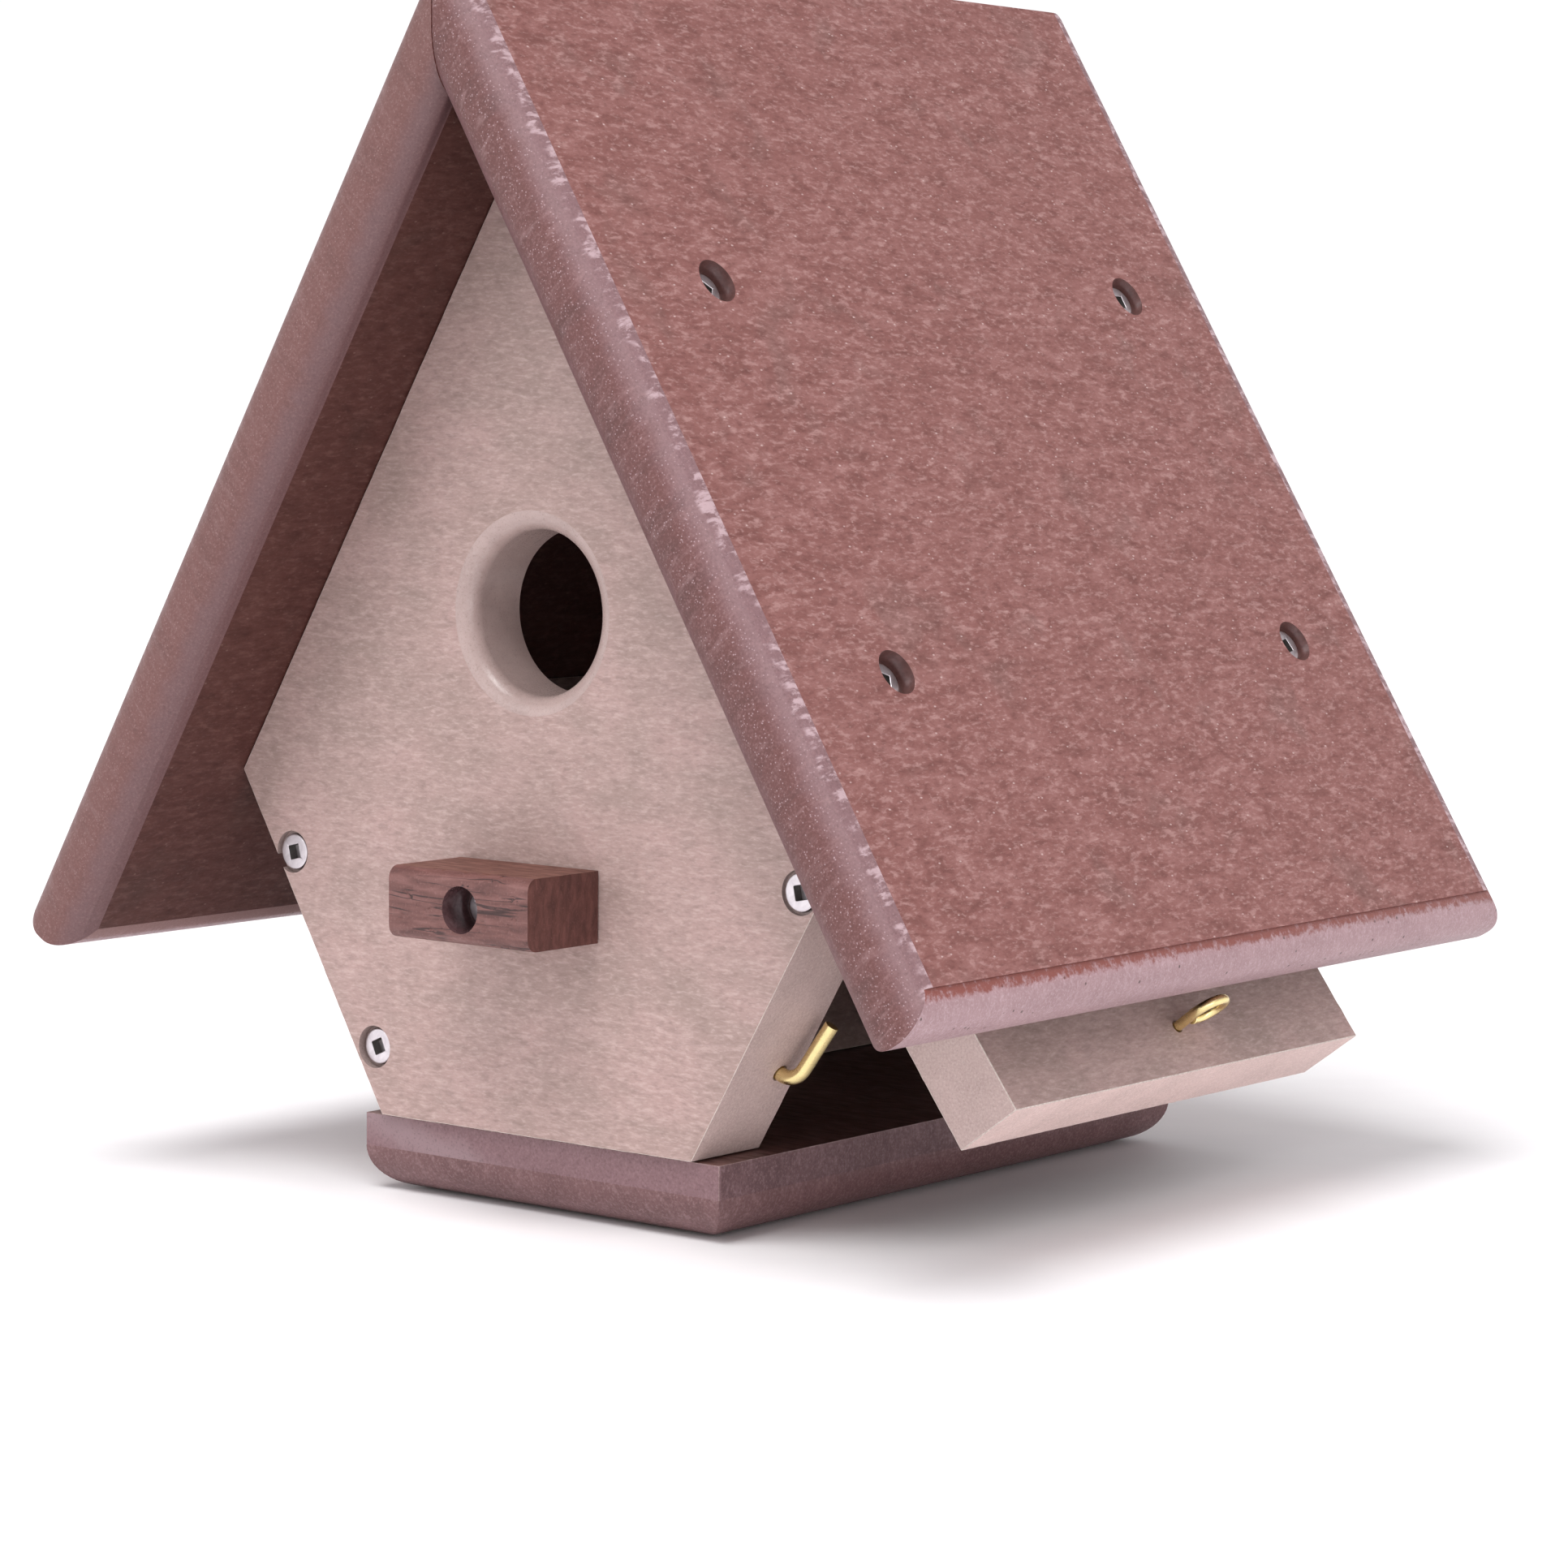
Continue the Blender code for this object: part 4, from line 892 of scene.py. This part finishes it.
# ------------------------------------------------------------------ roof boards
def roof_board(name, side, node, end_material):
    r = ROOF_ROUND_R

    def ridge(n):
        return (inset - n * math.sin(SLOPE)) / math.cos(SLOPE)

    outline = [(ridge(ROOF_N0), ROOF_N0)]
    outline += arc(EAVE_S - r, ROOF_N0 + r, r, -90, 0, 14)
    outline += arc(EAVE_S - r, ROOF_N1 - EAVE_QUIRK - r, r, 0, 90, 14)
    outline += [(EAVE_S - r, ROOF_N1), (ridge(ROOF_N1), ROOF_N1)]
    to = Matrix.Translation(place(0, 0, PANEL_APEX_Z)) @ Matrix.Rotation(side * SLOPE, 4, "Y")
    board = new_object(name, extrude(outline, ROOF_FRONT_Y, ROOF_BACK_Y,
                                     lambda a, b, t: to @ (Vector((side * a, t, b)) * MM)))
    ends_outline = (arc(ROOF_FRONT_Y + r, ROOF_N0 + r, r, 180, 270, 14)
                    + arc(ROOF_BACK_Y - r, ROOF_N0 + r, r, -90, 0, 14)
                    + arc(ROOF_BACK_Y - r, ROOF_N1 - r, r, 0, 90, 14)
                    + arc(ROOF_FRONT_Y + r, ROOF_N1 - r, r, 90, 180, 14))
    tool = new_object("tool", extrude(ends_outline, -60.0, EAVE_S + 20.0,
                                      lambda a, b, t: to @ (Vector((side * t, a, b)) * MM)))
    word = "left" if side < 0 else "right"
    boolean(board, [("INTERSECT", tool)] + holes(*[f"{word}_roof_screw_{level}_{end}" for level in ("lower", "upper")
                                                   for end in ("front", "back")]))
    back_to = to.inverted()
    turned = back_to.to_3x3()

    def local(c):
        p = back_to @ place(*c)
        return side * p.x / MM, p.y / MM, p.z / MM

    def pick(c, n, arris):
        s, y, h = local(c)
        m = turned @ n
        s_out = side * m.x
        for sy in (ROOF_SCREW_FRONT_Y, ROOF_SCREW_BACK_Y):
            for ss in (ROOF_SCREW_LOW, ROOF_SCREW_HIGH):
                if math.hypot(s - ss, y - sy) < 4.4 and h < ROOF_N1 - 0.05 and h > ROOF_N0 + 0.05:
                    return 4
        # the quirk's riser gets the darker copy, painted shade
        if s > EAVE_S - r - 0.02 and abs(m.z) < 0.3 and h > ROOF_N1 - EAVE_QUIRK - 0.05:
            return 3
        if abs(m.y) > 0.02 and abs(m.y) >= s_out:
            return 1
        if s > EAVE_S - r - 0.01 and s_out > 0.02:
            return 2
        # 5: the underside, darker as painted shade
        return 5 if m.z < -0.9 else 0

    dress(board, pick, [M["roof"], end_material, M["roof_eave" if side > 0 else "roof_eave_l"], M["roof_quirk_painted_shade"], M["roof_bore"], M["roof_under_painted_shade"]], 33)
    stand_in(board, "house", node, slot="roof_board")
    return board


roof_board("right_roof_panel_fine", 1, "right_roof_panel", M["roof_end_r_lit_copy"])
roof_board("left_roof_panel_fine", -1, "left_roof_panel", M["roof_end_l_shaded_copy"])

# ------------------------------------------------------------------ perch, with embossed grain
r = PERCH_ROUND_R


def perch_loop():
    """Cross-section y, z with points close enough to carry the grain; each is tagged by the side it is on."""
    pts = []

    def line(a, b, tag, step=0.33):
        n = max(1, int(math.dist(a, b) / step))
        for k in range(n):
            f = k / n
            pts.append((a[0] + (b[0] - a[0]) * f, a[1] + (b[1] - a[1]) * f, tag))
    y_in, y_out = -GAP, -PERCH_OUT
    line((y_in, PERCH_Z0), (y_out + r, PERCH_Z0), "under", 0.8)
    pts.extend((a, b, "front") for a, b in arc(y_out + r, PERCH_Z0 + r, r, 270, 180, 8)[:-1])
    line((y_out, PERCH_Z0 + r), (y_out, PERCH_Z1 - r), "front")
    pts.extend((a, b, "front") for a, b in arc(y_out + r, PERCH_Z1 - r, r, 180, 90, 8)[:-1])
    line((y_out + r, PERCH_Z1), (y_in, PERCH_Z1), "top", 0.6)
    line((y_in, PERCH_Z1), (y_in, PERCH_Z0), "back", 2.0)
    return pts


bm = bmesh.new()
loop = perch_loop()
count = 96
columns = []
for i in range(count + 1):
    x = PERCH_X0 + (PERCH_X1 - PERCH_X0) * i / count
    column = []
    for y, z, tag in loop:
        dy = dz = 0.0
        if tag == "front":
            q = Vector((x * 0.16, y * 0.9, z * 1.15))
            cracks = abs(noise.noise(q + Vector((3.1, 0, 0.4)) + Vector((0, 0, 0.9)) * noise.noise(Vector((x * 0.3, 0, z * 0.35)))))
            groove = max(0.0, 1.0 - cracks / 0.085)
            waves = noise.noise(Vector((x * 0.10, 2.0, z * 0.9)))
            depth = groove ** 1.4 * 0.30 * (0.35 + 0.65 * max(0.0, 0.5 + noise.noise(Vector((x * 0.22, 5.0, z * 0.5))))) - waves * 0.07
            depth *= min(1.0, (x - PERCH_X0) / 0.8, (PERCH_X1 - x) / 0.8)
            centre_y, centre_z = -PERCH_OUT + 6.0, 43.5
            d = Vector((y - centre_y, (z - centre_z) * 0.6)).normalized()
            dy, dz = -d.x * max(0.0, depth), -d.y * max(0.0, depth)
        elif tag == "top":
            dz = 0.03 * noise.noise(Vector((x * 0.5, y * 0.5, 3.0))) - 0.03
        column.append(bm.verts.new(place(x, y + dy, z + dz)))
    columns.append(column)
for a, b in zip(columns, columns[1:]):
    for i in range(len(loop)):
        j = (i + 1) % len(loop)
        bm.faces.new((a[i], a[j], b[j], b[i]))
bm.faces.new(list(reversed(columns[0])))
bm.faces.new(columns[-1])
perch = new_object("perch_block_fine", bm)
boolean(perch, holes("perch_screw"))


def perch_pick(c, n, arris):
    x, y, z = c
    if math.hypot(x - PERCH_SCREW[0], z - PERCH_SCREW[1]) < 4.3 and y > -PERCH_OUT + 0.02 and y < -1:
        if not (n.y < -0.9 and y < -PERCH_OUT + 0.8):
            return 2
    if abs(n.x) > 0.9:
        return 1
    if n.y < -0.25:
        return 0
    return 3


dress(perch, perch_pick, [M["perch_grain"], M["perch_end"], M["perch_bore"], M["perch_top"]], 40)
stand_in(perch, "house", "perch_block", slot="brown_board")

# ------------------------------------------------------------------ door
open_angle = math.radians(DOOR_OPEN_DEG)
DOOR_MID_Y = (DOOR_Y0 + DOOR_Y1) / 2
door_to = Matrix.Translation(place(PIVOT[0], DOOR_MID_Y, PIVOT[1])) @ Matrix.Rotation(-open_angle, 4, "Y")
door = new_object("cleanout_door_fine", extrude(
    [(DOOR_OUT - BOARD_T, -DOOR_BELOW), (DOOR_OUT, -DOOR_BELOW), (DOOR_OUT, DOOR_ABOVE), (DOOR_OUT - BOARD_T, DOOR_ABOVE)],
    DOOR_Y0 - DOOR_MID_Y, DOOR_Y1 - DOOR_MID_Y, lambda a, b, t: door_to @ (Vector((a, t, b)) * MM)))
eye_hole = new_object("tool", turn([(0, 5), (EYE_WIRE_R + 0.3, 5), (EYE_WIRE_R + 0.3, -EYE_IN - 0.4), (0, -EYE_IN - 0.4)], 32))
eye_hole.matrix_world = door_to @ aim(Vector((DOOR_OUT, EYE_Y - DOOR_MID_Y, -EYE_DOWN)) * MM, (1, 0, 0))
boolean(door, [("DIFFERENCE", eye_hole)] + holes("door_pivot_screw_front", "door_pivot_screw_back"))
ease_arrises(door, 0.20, 1.2, 0.14, lambda e: sharp(e) and e.calc_length() > 8 * MM)
door_back = door_to.to_3x3().inverted()


def door_pick(c, n, arris):
    if arris:
        return 3
    m = door_back @ n
    if abs(m.x) > 0.9:
        return 0
    if abs(m.y) > 0.9:
        return 1
    # 4: the lower edge, painted paler as painted light
    return 4 if m.z < -0.9 else 2


dress(door, door_pick, [M["tan_side"], M["tan_sawn_end"], M["tan_sawn"], M["tan_arris"], M["tan_sawn_low_painted_light"]])
stand_in(door, "door", "cleanout_door", slot="tan_board")


# ------------------------------------------------------------------ brass wire
def tube(name, points, tangents, radius, sides, to, cap=0.12):
    bm = bmesh.new()
    rings = []
    ref = tangents[0].orthogonal().normalized()
    last = tangents[0]
    stations = [(points[0], tangents[0], radius - cap)]
    stations += [(points[0] + tangents[0] * cap * 0.8, tangents[0], radius)]
    stations += [(p, t, radius) for p, t in zip(points[1:-1], tangents[1:-1])]
    stations += [(points[-1] - tangents[-1] * cap * 0.8, tangents[-1], radius), (points[-1], tangents[-1], radius - cap)]
    for p, t, rr in stations:
        ref = last.rotation_difference(t) @ ref
        ref = (ref - t * ref.dot(t)).normalized()
        other = t.cross(ref)
        last = t
        rings.append([bm.verts.new(to @ ((p + rr * (math.cos(a) * ref + math.sin(a) * other)) * MM))
                      for a in (2 * math.pi * k / sides for k in range(sides))])
    for low, high in zip(rings, rings[1:]):
        for k in range(sides):
            m = (k + 1) % sides
            bm.faces.new((low[k], low[m], high[m], high[k]))
    bm.faces.new(list(reversed(rings[0])))
    bm.faces.new(rings[-1])
    obj = new_object(name, bm)
    mesh = obj.data
    mesh.materials.append(M["brass"])
    mesh.materials.append(M["brass_end"])
    for poly in mesh.polygons:
        poly.material_index = 1 if len(poly.vertices) > 4 else 0
    mesh.shade_smooth()
    mesh.set_sharp_from_angle(angle=math.radians(50))
    return obj


points, tangents = [], []
start = Vector((DOOR_OUT - EYE_IN, 0, 0))
loop_c = Vector((DOOR_OUT + EYE_LOOP_RISE, EYE_LOOP_SIDE, 0))
loop_start = loop_c + Vector((0, -EYE_LOOP_R, 0))
for k in range(6):
    points.append(start + Vector((EYE_IN * k / 5 * 0.95, 0, 0)))
    tangents.append(Vector((1, 0, 0)))
rise = points[-1]
for k in range(1, 9):
    f = k / 9
    ease = f * f * (3 - 2 * f)
    points.append(Vector((rise.x + (loop_start.x - rise.x) * f, loop_start.y * ease, 0)))
    tangents.append(Vector((1, loop_start.y * 6 * f * (1 - f) / (loop_start.x - rise.x), 0)).normalized())
for k in range(61):
    a = math.radians(180 - (180 + 104) * k / 60)
    points.append(loop_c + EYE_LOOP_R * Vector((math.sin(a), math.cos(a), 0)))
    tangents.append(Vector((-math.cos(a), math.sin(a), 0)))
eye = tube("door_pull_eye_fine", points, tangents, EYE_WIRE_R, 28,
           door_to @ Matrix.Translation(Vector((0, EYE_Y - DOOR_MID_Y, -EYE_DOWN)) * MM))
stand_in(eye, "door", "door_pull_eye", slot="brass_wire")

points, tangents = [], []
b = LATCH_BEND_R
for h in (-LATCH_IN, -LATCH_IN * 0.5, LATCH_RISE - b):
    points.append(Vector((0, 0, h)))
    tangents.append(Vector((0, 0, 1)))
for k in range(1, 17):
    a = math.radians(90 * k / 16)
    points.append(Vector((b * (1 - math.cos(a)), 0, LATCH_RISE - b + b * math.sin(a))))
    tangents.append(Vector((math.sin(a), 0, math.cos(a))))
for f in (0.25, 0.5, 0.75, 1.0):
    points.append(Vector((b + (LATCH_LEG - b) * f, 0, LATCH_RISE)))
    tangents.append(Vector((1, 0, 0)))
leg_dir = (EDGE_UP * math.cos(math.radians(LATCH_TURNED_DEG)) + Vector((0, 1, 0)) * math.sin(math.radians(LATCH_TURNED_DEG)))
latch_to = Matrix.Translation(place(*latch_base)) @ Matrix((leg_dir, EDGE_OUT.cross(leg_dir), EDGE_OUT)).transposed().to_4x4()
hook = tube("latch_hook_fine", points, tangents, LATCH_WIRE_R, 36, latch_to)
stand_in(hook, "latch", "latch_hook", slot="brass_wire")

# ------------------------------------------------------------------ floor and light
stage_mat = Net("studio_floor")
speck = stage_mat.noise(stage_mat.mapped((1, 1, 1)), 40, 2, 0.5)
stage_mat.done(stage_mat.ramp(speck, [(0.3, (0.90, 0.885, 0.90)), (0.7, (0.93, 0.92, 0.93))]), 0.65)
bm = bmesh.new()
bmesh.ops.create_circle(bm, cap_ends=True, radius=14.0, segments=96)
table = new_object("studio_floor", bm)
table.location = (0, 0, -0.0003)
table.data.materials.append(stage_mat.mat)

world = bpy.data.worlds.new("studio_world")
scene.world = world
world.use_nodes = True
wn, wl = world.node_tree.nodes, world.node_tree.links
height = wn.new("ShaderNodeSeparateXYZ")
wl.new(wn.new("ShaderNodeTexCoord").outputs["Generated"], height.inputs[0])
band = wn.new("ShaderNodeMapRange")
band.interpolation_type = "SMOOTHSTEP"
for key, value in (("From Min", 0.16), ("From Max", 0.42), ("To Min", 1.04), ("To Max", 0.62)):
    band.inputs[key].default_value = value
wl.new(height.outputs[2], band.inputs["Value"])
wn["Background"].inputs["Color"].default_value = (1.0, 0.985, 1.0, 1.0)
wl.new(band.outputs["Result"], wn["Background"].inputs["Strength"])


def sun(name, direction, strength, angle_deg, colour=(1, 1, 1)):
    data = bpy.data.lights.new(name, "SUN")
    data.energy = strength
    data.angle = math.radians(angle_deg)
    data.color = colour
    obj = bpy.data.objects.new(name, data)
    scene.collection.objects.link(obj)
    obj.rotation_euler = Vector(direction).to_track_quat("Z", "Y").to_euler()
    return obj


sun("overhead_soft", (0.06, -0.40, 1.0), 2.2, 34)


def area(name, at, target, size, power, colour=(1, 1, 1)):
    data = bpy.data.lights.new(name, "AREA")
    data.shape = "RECTANGLE"
    data.size, data.size_y = size
    data.energy = power
    data.color = colour
    obj = bpy.data.objects.new(name, data)
    scene.collection.objects.link(obj)
    obj.location = at
    obj.rotation_euler = (Vector(target) - Vector(at)).to_track_quat("-Z", "Y").to_euler()
    obj.visible_camera = False
    return obj


area("key_front_left", (-0.75, -1.35, 0.75), (0, 0, 0.1), (0.9, 0.9), 2.9)
area("low_right", (0.95, -0.55, 0.02), (0.05, 0, 0.06), (0.8, 0.12), 2.0)
area("high_right", (1.05, -0.35, 0.95), (0.05, 0, 0.05), (0.6, 0.6), 3.5)
